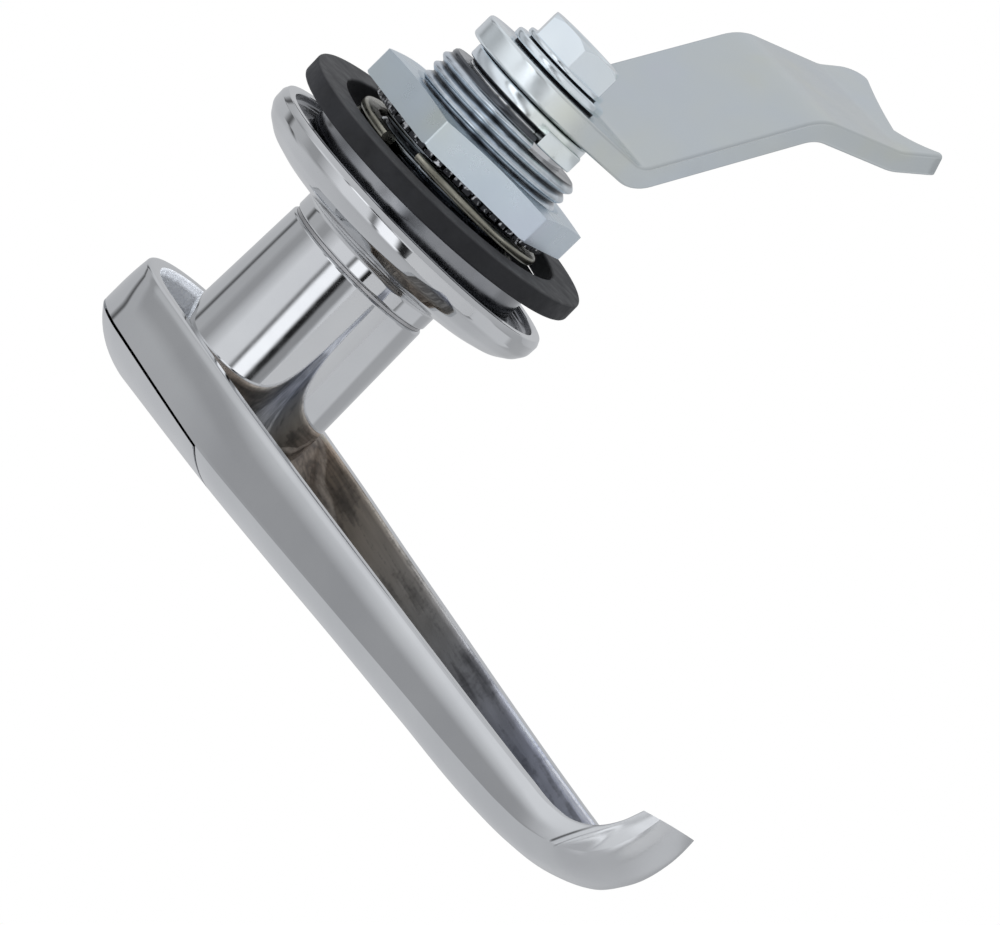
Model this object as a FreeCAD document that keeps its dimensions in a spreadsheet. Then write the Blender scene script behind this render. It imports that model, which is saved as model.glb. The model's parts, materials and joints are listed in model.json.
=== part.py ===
import FreeCAD, Part
import math
import os

import Sketcher

# Cabinet handle lock, in millimetres.
# The lock axis is Y: the handle is on the -Y side, in front of the door, and the cam is on the +Y side, behind it.
# The arm hangs along -Z when the lock is shut. The origin is on the lock axis, in the plane of the flange's back rim.
# Each piece is drawn in a working frame of its own: x is X, y points down along the arm, z runs along the lock axis.

# Driving dimensions: name and value. "Along" is a place on the lock axis, "down" is a distance from it along the arm.
SIZES = {
    # Running fits and small gaps
    "running_gap": 0.05,
    "seat_gap": 0.02,
    "seam_gap": 0.15,
    # Neck, tail and square end of the handle
    "neck_handle_radius": 10.9,
    "neck_shoulder_radius": 10.3,
    "neck_shoulder_along": -9.3,
    "tail_radius": 8.0,
    "tail_end_along": 17.2,
    "square_side": 8.0,
    "square_end_along": 22.1,
    # Head of the handle
    "head_wall": 2.3,
    "head_web": 2.6,
    "seam_along": -34.0,
    # Arm of the handle
    "arm_wall": 1.8,
    "arm_floor": 2.2,
    "lip_floor": 1.5,
    "channel_start_down": 7.0,
    "channel_deep_down": 19.5,
    "tip_round_radius": 2.2,
    "shoulder_share": 0.5,
    "front_rise": 0.5,
    # Swinging cover
    "pivot_down": -14.8,
    "cover_radius": 30.7,
    "cover_hollow_radius": 8.6,
    "cover_hollow_depth": 3.2,
    "pivot_shank_radius": 1.5,
    "pivot_head_radius": 2.6,
    "pivot_head_height": 1.2,
    "pivot_depth": 3.4,
    "pivot_washer_height": 0.5,
    "detent_ball_radius": 0.8,
    "detent_offset": 4.2,
    "detent_depth": 0.35,
    "detent_bore_depth": 2.3,
    # Key cylinder
    "sleeve_radius": 7.0,
    "sleeve_front_along": -33.8,
    "sleeve_back_along": -13.8,
    "plug_radius": 5.5,
    "plug_lip_radius": 6.2,
    "plug_lip_height": 0.6,
    "plug_back_along": -14.6,
    "key_slot_width": 1.6,
    "key_slot_height": 8.0,
    "wafer_height": 1.0,
    "wafer_width": 6.0,
    "wafer_top": 4.5,
    "wafer_foot": 3.4,
    "wafer_border": 1.2,
    "wafer_window_width": 2.0,
    "wafer_channel_reach": 5.95,
    "wafer_slot_foot": 5.1,
    "wafer_pitch": 2.6,
    "wafer_first_along": -29.0,
    "wafer_spring_radius": 0.45,
    "clip_height": 0.7,
    "clip_radius": 6.2,
    "clip_opening": 3.0,
    "clip_groove_radius": 2.2,
    "drive_radius": 2.4,
    "crank_throw": 1.7,
    "crank_radius": 0.65,
    "crank_end_along": 3.0,
    # Locking bolt and its notches
    "bolt_width": 7.0,
    "bolt_low_along": 0.2,
    "bolt_height": 3.4,
    "bolt_tip": 7.7,
    "bolt_heel": 5.4,
    "yoke_lost_motion": 0.4,
    "notch_gap": 0.2,
    # Seal on the tail
    "seal_along": -7.6,
    "seal_radius": 7.39,
    "seal_section_radius": 0.57,
    # Flange
    "flange_radius": 20.9,
    "flange_collar_radius": 10.2,
    "collar_front_along": -8.9,
    "collar_back_along": -6.6,
    "flange_slope_radius": 17.3,
    "flange_slope_along": -5.1,
    "flange_edge_along": -1.5,
    "flange_rim_width": 1.6,
    "flange_recess_along": -2.6,
    "boss_radius": 16.0,
    "boss_end_along": 4.3,
    # Threaded barrel
    "barrel_radius": 11.0,
    "barrel_front_along": -4.6,
    "barrel_end_along": 16.9,
    "thread_radius": 10.9,
    "thread_pitch": 1.5,
    "thread_depth": 0.9,
    "stop_recess_depth": 1.6,
    # Neck washer, gasket, spring ring and nut
    "neck_washer_radius": 10.0,
    "gasket_radius": 20.7,
    "gasket_hole_radius": 16.25,
    "gasket_height": 2.5,
    "gasket_along": 3.3,
    "gasket_sag": 0.1,
    "gasket_lean": 3.5,
    "ring_radius": 12.5,
    "ring_width": 2.2,
    "ring_height": 1.1,
    "ring_climb": 1.25,
    "ring_span": 338.8,
    "ring_turn": 4.2,
    "nut_across_flats": 27.5,
    "nut_height": 4.0,
    "nut_along": 7.8,
    "nut_turn": 27.5,
    "nut_chamfer": 0.2,
    "nut_collar_radius": 13.4,
    "nut_collar_height": 0.85,
    "nut_tooth_depth": 0.9,
    "nut_tooth_gap": 0.7,
    # Stop washer
    "stop_washer_radius": 8.7,
    "stop_washer_height": 2.2,
    "stop_ear_radius": 10.6,
    "stop_ear_step": 0.9,
    "stop_ear_turn": 84,
    "stop_ear_half_angle": 17,
    "stop_play_angle": 1.5,
    # Cam
    "cam_height": 3.0,
    "cam_half_width": 10.15,
    "cam_hub_reach": 12.3,
    "cam_rise_angle": 50.5,
    "cam_rise_length": 24.8,
    "cam_run_angle": 15.0,
    "cam_run_length": 14.2,
    "cam_tip_angle": 29.0,
    "cam_tip_length": 6.3,
    "cam_rise_bend_radius": 2.6,
    "cam_run_bend_radius": 5.0,
    "cam_tip_bend_radius": 6.0,
    "cam_end_reach": 46.8,
    "cam_end_corner": 2.8,
    "cam_end_hollow_reach": 42.8,
    "cam_end_hollow_down": 4.8,
    # Cam washer and bolt
    "cam_washer_radius": 6.9,
    "cam_washer_height": 1.4,
    "cam_bolt_radius": 3.0,
    "cam_bolt_length": 13.5,
    "cam_bolt_flange_radius": 5.9,
    "cam_bolt_flange_height": 0.8,
    "cam_bolt_across_flats": 10.0,
    "cam_bolt_head_height": 4.1,
    "cam_bolt_dish_radius": 3.6,
    "cam_bolt_dish_depth": 0.9,
}

# Stations of the arm, from the head to the tip of the hook. Each is a cross-section that stands on the rim line:
# step down and step along from the station before it (the head's are taken from the origin), lean of the section in
# degrees, depth from the rim to the front, half of the width and height of the crowned front.
STATIONS = {
    "head": {"down": -8.3, "along": -26.8, "lean": 90, "depth": 12.5, "half": 12.6, "crown": 5.1},
    "neck": {"down": 22.3, "along": 0.3, "lean": 90, "depth": 11.2, "half": 12.1, "crown": 3.7},
    "mid": {"down": 28.0, "along": 0.5, "lean": 90, "depth": 9.4, "half": 9.7, "crown": 3.5},
    "low": {"down": 28.0, "along": 0.7, "lean": 90, "depth": 7.8, "half": 7.3, "crown": 3.5},
    "bend": {"down": 8.6, "along": 0.4, "lean": 105, "depth": 6.3, "half": 6.4, "crown": 3.0},
    "curl": {"down": 3.8, "along": 1.7, "lean": 130, "depth": 4.1, "half": 5.5, "crown": 2.0},
    "lip": {"down": 1.8, "along": 2.6, "lean": 160, "depth": 2.9, "half": 4.7, "crown": 1.4},
    "tip": {"down": 0.7, "along": 3.0, "lean": 195, "depth": 2.2, "half": 3.9, "crown": 1.0},
}
WAFER_COUNT = 5
THREAD_COUNT = 8
NUT_TOOTH_COUNT = 56
FAR = 60.0

doc = FreeCAD.newDocument("CabinetHandleLock")


class Size:
    """A length or angle with the expression that drives it."""

    def __init__(self, number, text):
        self.number = number
        self.text = text

    def join(self, other, sign, number):
        return Size(number, f"({self.text} {sign} {as_size(other).text})")

    def __add__(self, other):
        return self.join(other, "+", self.number + as_size(other).number)

    def __sub__(self, other):
        return self.join(other, "-", self.number - as_size(other).number)

    def __mul__(self, other):
        return self.join(other, "*", self.number * as_size(other).number)

    def __truediv__(self, other):
        return self.join(other, "/", self.number / as_size(other).number)

    def __radd__(self, other):
        return as_size(other) + self

    def __rsub__(self, other):
        return as_size(other) - self

    def __rmul__(self, other):
        return as_size(other) * self

    def __neg__(self):
        return Size(-self.number, f"(-1 * {self.text})")


def as_size(value):
    return value if isinstance(value, Size) else Size(float(value), repr(float(value)))


def cosine(angle):
    return Size(math.cos(math.radians(angle.number)), f"cos({angle.text})")


def sine(angle):
    return Size(math.sin(math.radians(angle.number)), f"sin({angle.text})")


def between(first, second, share):
    """A size part of the way from one to another."""
    return first + (second - first) * share


def make_sheet():
    """The sheet of driving dimensions, and the sizes that read it."""
    table = doc.addObject("Spreadsheet::Sheet", "Sizes")
    names = dict(SIZES)
    for station, values in STATIONS.items():
        for key, value in values.items():
            names[f"{station}_station_{key}"] = value
    sizes = {}
    for row, (name, value) in enumerate(names.items(), 1):
        table.set(f"A{row}", name)
        table.set(f"B{row}", repr(value))
        table.setAlias(f"B{row}", name)
        sizes[name] = Size(float(value), f"Sizes.{name}")
    doc.recompute()
    return sizes


class Sizes:
    """Driving dimensions by name."""

    def __init__(self, sizes):
        self.__dict__.update(sizes)


S = Sizes(make_sheet())


def make_arm():
    """Stations of the arm, with their steps added up."""
    arm = {}
    down, along = 0, 0
    for name, values in STATIONS.items():
        station = Sizes({key: getattr(S, f"{name}_station_{key}") for key in values})
        down = station.down = down + station.down
        along = station.along = along + station.along
        arm[name] = station
    return arm


ARM = make_arm()
WORKING_FRAME = FreeCAD.Rotation(FreeCAD.Vector(1, 0, 0), -90)
X_AXIS = FreeCAD.Vector(1, 0, 0)


# Drawing

def bind(thing, path, size):
    thing.setExpression(path, as_size(size).text)


def draw(sketch, corners, arcs=None):
    """A closed outline through the corners. arcs gives, for the edge that starts at a corner, the arc's centre and
    whether it runs anticlockwise."""
    arcs = arcs or {}
    corners = [(as_size(x), as_size(y)) for x, y in corners]
    first = sketch.GeometryCount
    count = len(corners)
    starts = []
    for index, corner in enumerate(corners):
        following = corners[(index + 1) % count]
        start = FreeCAD.Vector(corner[0].number, corner[1].number, 0)
        end = FreeCAD.Vector(following[0].number, following[1].number, 0)
        if index in arcs:
            centre, anticlockwise = arcs[index]
            middle = FreeCAD.Vector(as_size(centre[0]).number, as_size(centre[1]).number, 0)
            begin, finish = (start, end) if anticlockwise else (end, start)
            circle = Part.Circle(middle, FreeCAD.Vector(0, 0, 1), (start - middle).Length)
            begin_angle = math.atan2(begin.y - middle.y, begin.x - middle.x)
            finish_angle = math.atan2(finish.y - middle.y, finish.x - middle.x)
            sketch.addGeometry(Part.ArcOfCircle(circle, begin_angle, finish_angle), False)
            starts.append((1, 2) if anticlockwise else (2, 1))
        else:
            sketch.addGeometry(Part.LineSegment(start, end), False)
            starts.append((1, 2))
    for index in range(count):
        following = (index + 1) % count
        sketch.addConstraint(
            Sketcher.Constraint("Coincident", first + index, starts[index][1], first + following, starts[following][0])
        )
    for index, corner in enumerate(corners):
        place(sketch, first + index, starts[index][0], corner)
    for index, (centre, anticlockwise) in arcs.items():
        chord_x = corners[(index + 1) % count][0].number - corners[index][0].number
        chord_y = corners[(index + 1) % count][1].number - corners[index][1].number
        one = (None, as_size(centre[1])) if abs(chord_x) >= abs(chord_y) else (as_size(centre[0]), None)
        place(sketch, first + index, 3, one)


def place(sketch, geometry, point, corner):
    """Fix a point of a sketch at sizes from the sketch's origin."""
    for kind, axis, size in (("DistanceX", -2, corner[0]), ("DistanceY", -1, corner[1])):
        if size is None:
            continue
        if abs(size.number) < 1e-9:
            sketch.addConstraint(Sketcher.Constraint("PointOnObject", geometry, point, axis))
            continue
        row = sketch.addConstraint(Sketcher.Constraint(kind, -1, 1, geometry, point, size.number))
        if "Sizes." in size.text:
            bind(sketch, f"Constraints[{row}]", size)


def ring(sketch, centre, radius):
    """A circle at sizes from the sketch's origin."""
    centre = (as_size(centre[0]), as_size(centre[1]))
    radius = as_size(radius)
    middle = FreeCAD.Vector(centre[0].number, centre[1].number, 0)
    index = sketch.addGeometry(Part.Circle(middle, FreeCAD.Vector(0, 0, 1), radius.number), False)
    if abs(centre[0].number) < 1e-9 and abs(centre[1].number) < 1e-9:
        sketch.addConstraint(Sketcher.Constraint("Coincident", index, 3, -1, 1))
    else:
        place(sketch, index, 3, centre)
    row = sketch.addConstraint(Sketcher.Constraint("Radius", index, radius.number))
    bind(sketch, f"Constraints[{row}]", radius)


def box_corners(x_low, x_high, y_low, y_high):
    return [(x_low, y_low), (x_high, y_low), (x_high, y_high), (x_low, y_high)]


def hexagon(across_flats, turn):
    """Corners of a hexagon with one corner at the angle turn."""
    corners = []
    for step in range(6):
        angle = turn + 60 * step
        reach = across_flats / (2 * math.cos(math.radians(30)))
        corners.append((reach * cosine(angle), reach * sine(angle)))
    return corners


# Bodies made of features

def new_body(name):
    body = doc.addObject("PartDesign::Body", name)
    body.Label = name
    return body


def body_sketch(body, name, role, lift=0):
    sketch = body.newObject("Sketcher::SketchObject", f"{body.Name}_{name}")
    plane = [feature for feature in body.Origin.OriginFeatures if feature.Role == role][0]
    sketch.AttachmentSupport = (plane, [""])
    sketch.MapMode = "FlatFace"
    lift = as_size(lift)
    if abs(lift.number) > 1e-9:
        sketch.AttachmentOffset = FreeCAD.Placement(FreeCAD.Vector(0, 0, lift.number), FreeCAD.Rotation())
    if "Sizes." in lift.text:
        bind(sketch, "AttachmentOffset.Base.z", lift)
    return sketch


def turned(body, name, corners, arcs=None, cut=False):
    """Turn an outline of (radius, along) about the lock axis."""
    sketch = body_sketch(body, f"{name}_outline", "XZ_Plane")
    draw(sketch, corners, arcs)
    kind = "PartDesign::Groove" if cut else "PartDesign::Revolution"
    feature = body.newObject(kind, f"{body.Name}_{name}")
    feature.Profile = sketch
    feature.ReferenceAxis = (sketch, ["V_Axis"])
    feature.Angle = 360
    if cut:
        CUTS.append(feature)
    return feature


def raised(body, name, lift, height, corners=None, arcs=None, circle=None):
    """Add a prism on an outline or circle, from lift upwards."""
    sketch = body_sketch(body, f"{name}_outline", "XY_Plane", lift)
    if corners:
        draw(sketch, corners, arcs)
    if circle:
        ring(sketch, *circle)
    feature = body.newObject("PartDesign::Pad", f"{body.Name}_{name}")
    feature.Profile = sketch
    bind(feature, "Length", height)
    return feature


def sunk(body, name, lift, height, corners=None, arcs=None, circles=()):
    """Cut a prism on an outline or circles, from lift upwards."""
    sketch = body_sketch(body, f"{name}_outline", "XY_Plane", lift)
    if corners:
        draw(sketch, corners, arcs)
    for circle in circles:
        ring(sketch, *circle)
    feature = body.newObject("PartDesign::Pocket", f"{body.Name}_{name}")
    feature.Profile = sketch
    feature.Reversed = True
    bind(feature, "Length", height)
    CUTS.append(feature)
    return feature


CUTS = []


# Loose solids joined by booleans

def free_sketch(name, down=0, along=0, lean=0):
    """A sketch whose plane leans about the X axis and passes through (0, down, along)."""
    sketch = doc.addObject("Sketcher::SketchObject", name)
    lean = as_size(lean)
    down = as_size(down)
    along = as_size(along)
    turn = FreeCAD.Rotation(X_AXIS, lean.number)
    sketch.Placement = FreeCAD.Placement(FreeCAD.Vector(0, down.number, along.number), turn)
    for path, size in (("Placement.Base.y", down), ("Placement.Base.z", along), ("Placement.Rotation.Angle", lean)):
        if "Sizes." in size.text:
            bind(sketch, path, size)
    return sketch


def extruded(name, sketch, forward, symmetric=False):
    solid = doc.addObject("Part::Extrusion", name)
    solid.Base = sketch
    solid.DirMode = "Normal"
    solid.Solid = True
    solid.Symmetric = symmetric
    bind(solid, "LengthFwd", forward)
    return solid


def cylinder(name, radius, low, height, down=0, across=0):
    solid = doc.addObject("Part::Cylinder", name)
    bind(solid, "Radius", radius)
    bind(solid, "Height", height)
    bind(solid, "Placement.Base.x", across)
    bind(solid, "Placement.Base.y", down)
    bind(solid, "Placement.Base.z", low)
    return solid


def tube(name, outer, inner, low, height, down=0):
    wall = cylinder(f"{name}_wall", outer, low, height, down)
    hole = cylinder(f"{name}_hole", inner, low - 1, height + 2, down)
    return cut(f"{name}_tube", wall, hole)


def block(name, x_low, x_size, y_low, y_size, z_low, z_size):
    solid = doc.addObject("Part::Box", name)
    for path, size in (
        ("Length", x_size),
        ("Width", y_size),
        ("Height", z_size),
        ("Placement.Base.x", x_low),
        ("Placement.Base.y", y_low),
        ("Placement.Base.z", z_low),
    ):
        bind(solid, path, size)
    return solid


def cut(name, base, tool):
    result = doc.addObject("Part::Cut", name)
    result.Base = base
    result.Tool = tool
    return result


def fused(name, shapes):
    result = doc.addObject("Part::MultiFuse", name)
    result.Shapes = shapes
    return result


def common(name, first, second):
    result = doc.addObject("Part::MultiCommon", name)
    result.Shapes = [first, second]
    return result


PIECES = []


def finish_piece(piece, label, along=0, down=0, spin=None):
    """Name a piece, turn it from its working frame into the lock's frame and seat it."""
    piece.Label = label
    turn = WORKING_FRAME.multiply(spin) if spin else WORKING_FRAME
    piece.Placement = FreeCAD.Placement(FreeCAD.Vector(0, 0, 0), turn)
    if isinstance(along, Size):
        bind(piece, "Placement.Base.y", along)
    if isinstance(down, Size):
        bind(piece, "Placement.Base.z", -down)
    PIECES.append(piece)
    return piece


# Arm and head of the handle

def section_corners(half, depth, crown, lift=0):
    """Cross-section of the arm: open side at y = lift, flat sides, then a front crowned in three arcs."""
    shoulder = half * S.shoulder_share
    rise = S.front_rise * crown / STATIONS["low"]["crown"]
    corners = [
        (-half, as_size(lift)),
        (-half, crown - depth),
        (-shoulder, rise - depth),
        (shoulder, rise - depth),
        (half, crown - depth),
        (half, as_size(lift)),
    ]
    return corners, rise, shoulder


def section_arcs(half, depth, crown, rise, shoulder):
    """Centres of the three arcs of the crowned front: a flat middle and two rounder shoulders."""
    run = half - shoulder
    drop = crown - rise
    middle_radius = (shoulder * shoulder + rise * rise) / (2 * rise)
    bulge = 1.3
    side_x = (half + shoulder) / 2 - drop * bulge
    side_y = (crown + rise) / 2 - depth + run * bulge
    return {
        1: ((-side_x, side_y), True),
        2: ((0, middle_radius - depth), True),
        3: ((side_x, side_y), True),
    }


def section_sketch(name, station, half, depth, crown, lift=0):
    sketch = free_sketch(name, station.down, station.along, station.lean)
    corners, rise, shoulder = section_corners(half, depth, crown, lift)
    draw(sketch, corners, section_arcs(half, depth, crown, rise, shoulder))
    return sketch


def lofted(name, sections, straight):
    loft = doc.addObject("Part::Loft", name)
    loft.Sections = sections
    loft.Solid = True
    loft.Ruled = straight
    return loft


def arm_and_hook(name, sections, low_index):
    """The straight arm and the hook, which meet in the section at low_index."""
    return [
        lofted(f"{name}_arm", sections[: low_index + 1], True),
        lofted(f"{name}_hook", sections[low_index:], False),
    ]


def head_round(name, half, top, bottom_depth, crown):
    """Round end of the head: half of the arm's first cross-section, turned half round about the head's own axis."""
    sketch = free_sketch(f"{name}_outline", ARM["head"].down, top, 90)
    shoulder = half * S.shoulder_share
    rise = S.front_rise * crown / STATIONS["low"]["crown"]
    arcs = section_arcs(half, bottom_depth, crown, rise, shoulder)
    corners = [
        (0, 0),
        (0, -bottom_depth),
        (shoulder, rise - bottom_depth),
        (half, crown - bottom_depth),
        (half, 0),
    ]
    draw(sketch, corners, {1: arcs[2], 2: arcs[3]})
    solid = doc.addObject("Part::Revolution", name)
    solid.Source = sketch
    solid.Axis = FreeCAD.Vector(0, 0, -1)
    bind(solid, "Base.y", ARM["head"].down)
    solid.Angle = 180
    solid.Solid = True
    return solid


def make_casting_form():
    """Outer form that the handle and its cover share."""
    sections = [
        section_sketch(f"outer_{name}", station, station.half, station.depth, station.crown)
        for name, station in ARM.items()
    ]
    lofts = arm_and_hook("outer", sections, list(ARM).index("low"))
    head = head_round("head_form", ARM["head"].half, ARM["head"].along, ARM["head"].depth, ARM["head"].crown)
    corners = fused("tip_corners", [tip_corner("tip_corner_right", 1), tip_corner("tip_corner_left", -1)])
    return cut("casting_form", fused("casting_blank", lofts + [head]), corners)


def tip_corner(name, side):
    """What rounds a corner off the tip of the hook."""
    tip = ARM["tip"]
    radius = S.tip_round_radius
    end_along = tip.along - tip.depth * sine(tip.lean)
    centre = (tip.half - 1.8, end_along - radius)
    start = (centre[0] + radius * cosine(as_size(14)), centre[1] + radius * sine(as_size(14)))
    outline = [
        start,
        (centre[0], end_along),
        (centre[0], end_along + 3),
        (tip.half + 3, end_along + 3),
        (tip.half + 3, start[1] + 0.7),
    ]
    sketch = free_sketch(f"{name}_outline", tip.down, 0, 90)
    draw(sketch, [(side * x, y) for x, y in outline], {0: ((side * centre[0], centre[1]), side > 0)})
    return extruded(name, sketch, tip.depth * 6, symmetric=True)


def make_channel():
    """Hollow of the arm, open towards the door: a shallow well under the cover, then the full depth down to the hook."""
    neck, mid = ARM["neck"], ARM["mid"]
    top_half = neck.half - S.arm_wall
    low_half = between(neck.half, mid.half, 0.3) - S.arm_wall
    well_outline = free_sketch("well_outline", 0, S.seam_along + S.head_web)
    draw(
        well_outline,
        [
            (-top_half, S.channel_start_down),
            (top_half, S.channel_start_down),
            (low_half, S.channel_deep_down + 2),
            (-low_half, S.channel_deep_down + 2),
        ],
    )
    well = extruded("channel_well", well_outline, FAR)
    share = (S.channel_deep_down - neck.down) / (mid.down - neck.down)
    first = Sizes({key: between(getattr(neck, key), getattr(mid, key), share) for key in STATIONS["neck"]})
    first.down = S.channel_deep_down
    first.lean = neck.lean
    sections = []
    for name, station in [("deep", first)] + list(ARM.items()):
        if name in ("head", "neck"):
            continue
        at_lip = name in ("lip", "tip")
        wall = S.arm_wall * 0.7 if at_lip else S.arm_wall
        floor = S.lip_floor if at_lip else S.arm_floor
        crown = station.crown * 0.8
        half = station.half - wall
        depth = station.depth - floor
        sections.append(section_sketch(f"inner_{name}", station, half, depth, crown, 1.0))
    return [well] + arm_and_hook("inner", sections, 2)


def make_handle(form):
    """Handle casting: head, channelled arm with its upturned tip, neck, tail and square end."""
    cover_room = cylinder(
        "cover_room", S.cover_radius + S.seam_gap, S.seam_along - FAR, FAR, down=S.pivot_down
    )
    shell = cut("handle_shell", form, cover_room)
    pocket = cylinder(
        "head_pocket",
        ARM["head"].half - S.head_wall,
        S.seam_along + S.head_web,
        FAR,
        down=ARM["head"].down,
    )
    hollow = cut("handle_hollow", shell, fused("handle_hollows", [pocket] + make_channel()))
    neck = doc.addObject("Part::Cone", "neck")
    bind(neck, "Radius1", S.neck_handle_radius)
    bind(neck, "Radius2", S.neck_shoulder_radius)
    bind(neck, "Height", S.neck_shoulder_along - S.seam_along)
    bind(neck, "Placement.Base.z", S.seam_along)
    tail = cylinder("tail", S.tail_radius, S.neck_shoulder_along, S.tail_end_along - S.neck_shoulder_along)
    square = block(
        "square_end",
        -S.square_side / 2,
        S.square_side,
        -S.square_side / 2,
        S.square_side,
        S.tail_end_along - 1,
        S.square_end_along - S.tail_end_along + 1,
    )
    solid = fused("handle_solid", [hollow, neck, tail, square])
    sleeve_bore = cylinder(
        "sleeve_bore",
        S.sleeve_radius + S.seat_gap,
        S.seam_along - 1,
        S.sleeve_back_along + S.clip_height + 1.2 - S.seam_along + 1,
    )
    drive_bore = cylinder("drive_bore", S.drive_radius + S.running_gap, S.plug_back_along, S.bolt_low_along - S.plug_back_along)
    slot_half = S.bolt_width / 2 + S.running_gap
    bolt_slot = block(
        "bolt_slot",
        -slot_half,
        2 * slot_half,
        -S.tail_radius - 1,
        S.tail_radius + 1 + S.bolt_heel + S.running_gap,
        S.bolt_low_along - S.running_gap,
        S.bolt_height + 2 * S.running_gap,
    )
    screw_bore = cylinder(
        "cam_bolt_bore",
        S.cam_bolt_radius + S.seat_gap,
        S.tail_end_along - S.cam_bolt_length + 6,
        S.cam_bolt_length,
    )
    seal_groove = cut(
        "seal_groove",
        cylinder("seal_groove_outer", S.tail_radius + 1, S.seal_along - 0.75, 1.5),
        cylinder("seal_groove_core", S.seal_radius - S.seal_section_radius - S.seat_gap, S.seal_along - 0.75, 1.5),
    )
    pivot_bore = cylinder(
        "pivot_bore", S.pivot_shank_radius + S.running_gap, S.seam_along - 1, S.head_web + 2, down=S.pivot_down
    )
    detent_bore = cylinder(
        "detent_bore",
        S.detent_ball_radius + S.running_gap,
        S.seam_along - 1,
        S.detent_bore_depth + 1,
        down=S.pivot_down + S.detent_offset,
    )
    bores = fused(
        "handle_bores", [sleeve_bore, drive_bore, bolt_slot, screw_bore, seal_groove, pivot_bore, detent_bore]
    )
    return finish_piece(cut("handle_casting", solid, bores), "handle")


def make_cover(form):
    """Swinging cover over the keyhole, hollow underneath, with a track for the detent ball."""
    reach = cylinder("cover_reach", S.cover_radius, S.seam_along - FAR, FAR - S.seat_gap, down=S.pivot_down)
    blank = common("cover_blank", form, reach)
    hollow = cylinder(
        "cover_hollow", S.cover_hollow_radius, S.seam_along - S.cover_hollow_depth, S.cover_hollow_depth + 1
    )
    shank = cylinder(
        "cover_shank_bore",
        S.pivot_shank_radius + S.seat_gap,
        S.seam_along - S.pivot_depth - S.seat_gap,
        S.pivot_depth + 1,
        down=S.pivot_down,
    )
    track = doc.addObject("Part::Torus", "detent_track")
    bind(track, "Radius1", S.detent_offset)
    bind(track, "Radius2", S.detent_ball_radius + S.running_gap)
    bind(track, "Placement.Base.y", S.pivot_down)
    bind(track, "Placement.Base.z", S.seam_along + S.detent_ball_radius - S.detent_depth)
    tools = fused("cover_tools", [hollow, shank, track])
    return finish_piece(cut("cover", blank, tools), "cover_plate")


def make_cover_hardware():
    """Pivot screw, its spring washer, and the detent ball with its spring."""
    web_back = S.seam_along + S.head_web
    washer = tube(
        "pivot_washer",
        S.pivot_head_radius,
        S.pivot_shank_radius + S.running_gap,
        web_back + S.seat_gap,
        S.pivot_washer_height,
        down=S.pivot_down,
    )
    finish_piece(washer, "cover_spring_washer")
    head_low = web_back + S.pivot_washer_height + 2 * S.seat_gap
    shank_low = S.seam_along - S.pivot_depth
    screw = fused(
        "pivot_screw_solid",
        [
            cylinder("pivot_screw_head", S.pivot_head_radius, head_low, S.pivot_head_height, down=S.pivot_down),
            cylinder(
                "pivot_screw_shank", S.pivot_shank_radius, shank_low, head_low - shank_low + 0.5, down=S.pivot_down
            ),
        ],
    )
    slot = block(
        "pivot_screw_slot",
        -S.pivot_head_radius - 1,
        2 * S.pivot_head_radius + 2,
        S.pivot_down - 0.35,
        0.7,
        head_low + S.pivot_head_height - 0.6,
        2,
    )
    finish_piece(cut("pivot_screw", screw, slot), "cover_pivot_screw")
    ball_down = S.pivot_down + S.detent_offset
    ball_along = S.seam_along + S.detent_ball_radius - S.detent_depth
    ball = doc.addObject("Part::Sphere", "detent_ball_solid")
    bind(ball, "Radius", S.detent_ball_radius)
    finish_piece(ball, "cover_detent_ball", ball_along, ball_down)
    spring = tube(
        "detent_spring",
        S.detent_ball_radius - S.running_gap,
        S.detent_ball_radius / 2,
        0,
        S.detent_bore_depth - 2 * S.detent_ball_radius + S.detent_depth - 2 * S.seat_gap,
    )
    finish_piece(spring, "cover_detent_spring", ball_along + S.detent_ball_radius + S.seat_gap, ball_down)


# Key cylinder and locking bolt

def make_sleeve():
    """Fixed sleeve of the key cylinder, with the two channels that wafers lock into."""
    body = new_body("sleeve")
    lip_room = S.plug_lip_height + 2 * S.running_gap
    turned(
        body,
        "wall",
        [
            (S.plug_radius + S.running_gap, S.sleeve_back_along),
            (S.sleeve_radius, S.sleeve_back_along),
            (S.sleeve_radius, S.sleeve_front_along),
            (S.plug_lip_radius + S.running_gap, S.sleeve_front_along),
            (S.plug_lip_radius + S.running_gap, S.sleeve_front_along + lip_room),
            (S.plug_radius + S.running_gap, S.sleeve_front_along + lip_room),
        ],
    )
    half = S.wafer_width / 2 + 0.1
    sunk(
        body,
        "wafer_channels",
        S.sleeve_front_along + 1.5,
        S.sleeve_back_along - S.sleeve_front_along - 3,
        box_corners(-half, half, -S.wafer_channel_reach, S.wafer_channel_reach),
    )
    finish_piece(body, "cylinder_sleeve")


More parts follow.
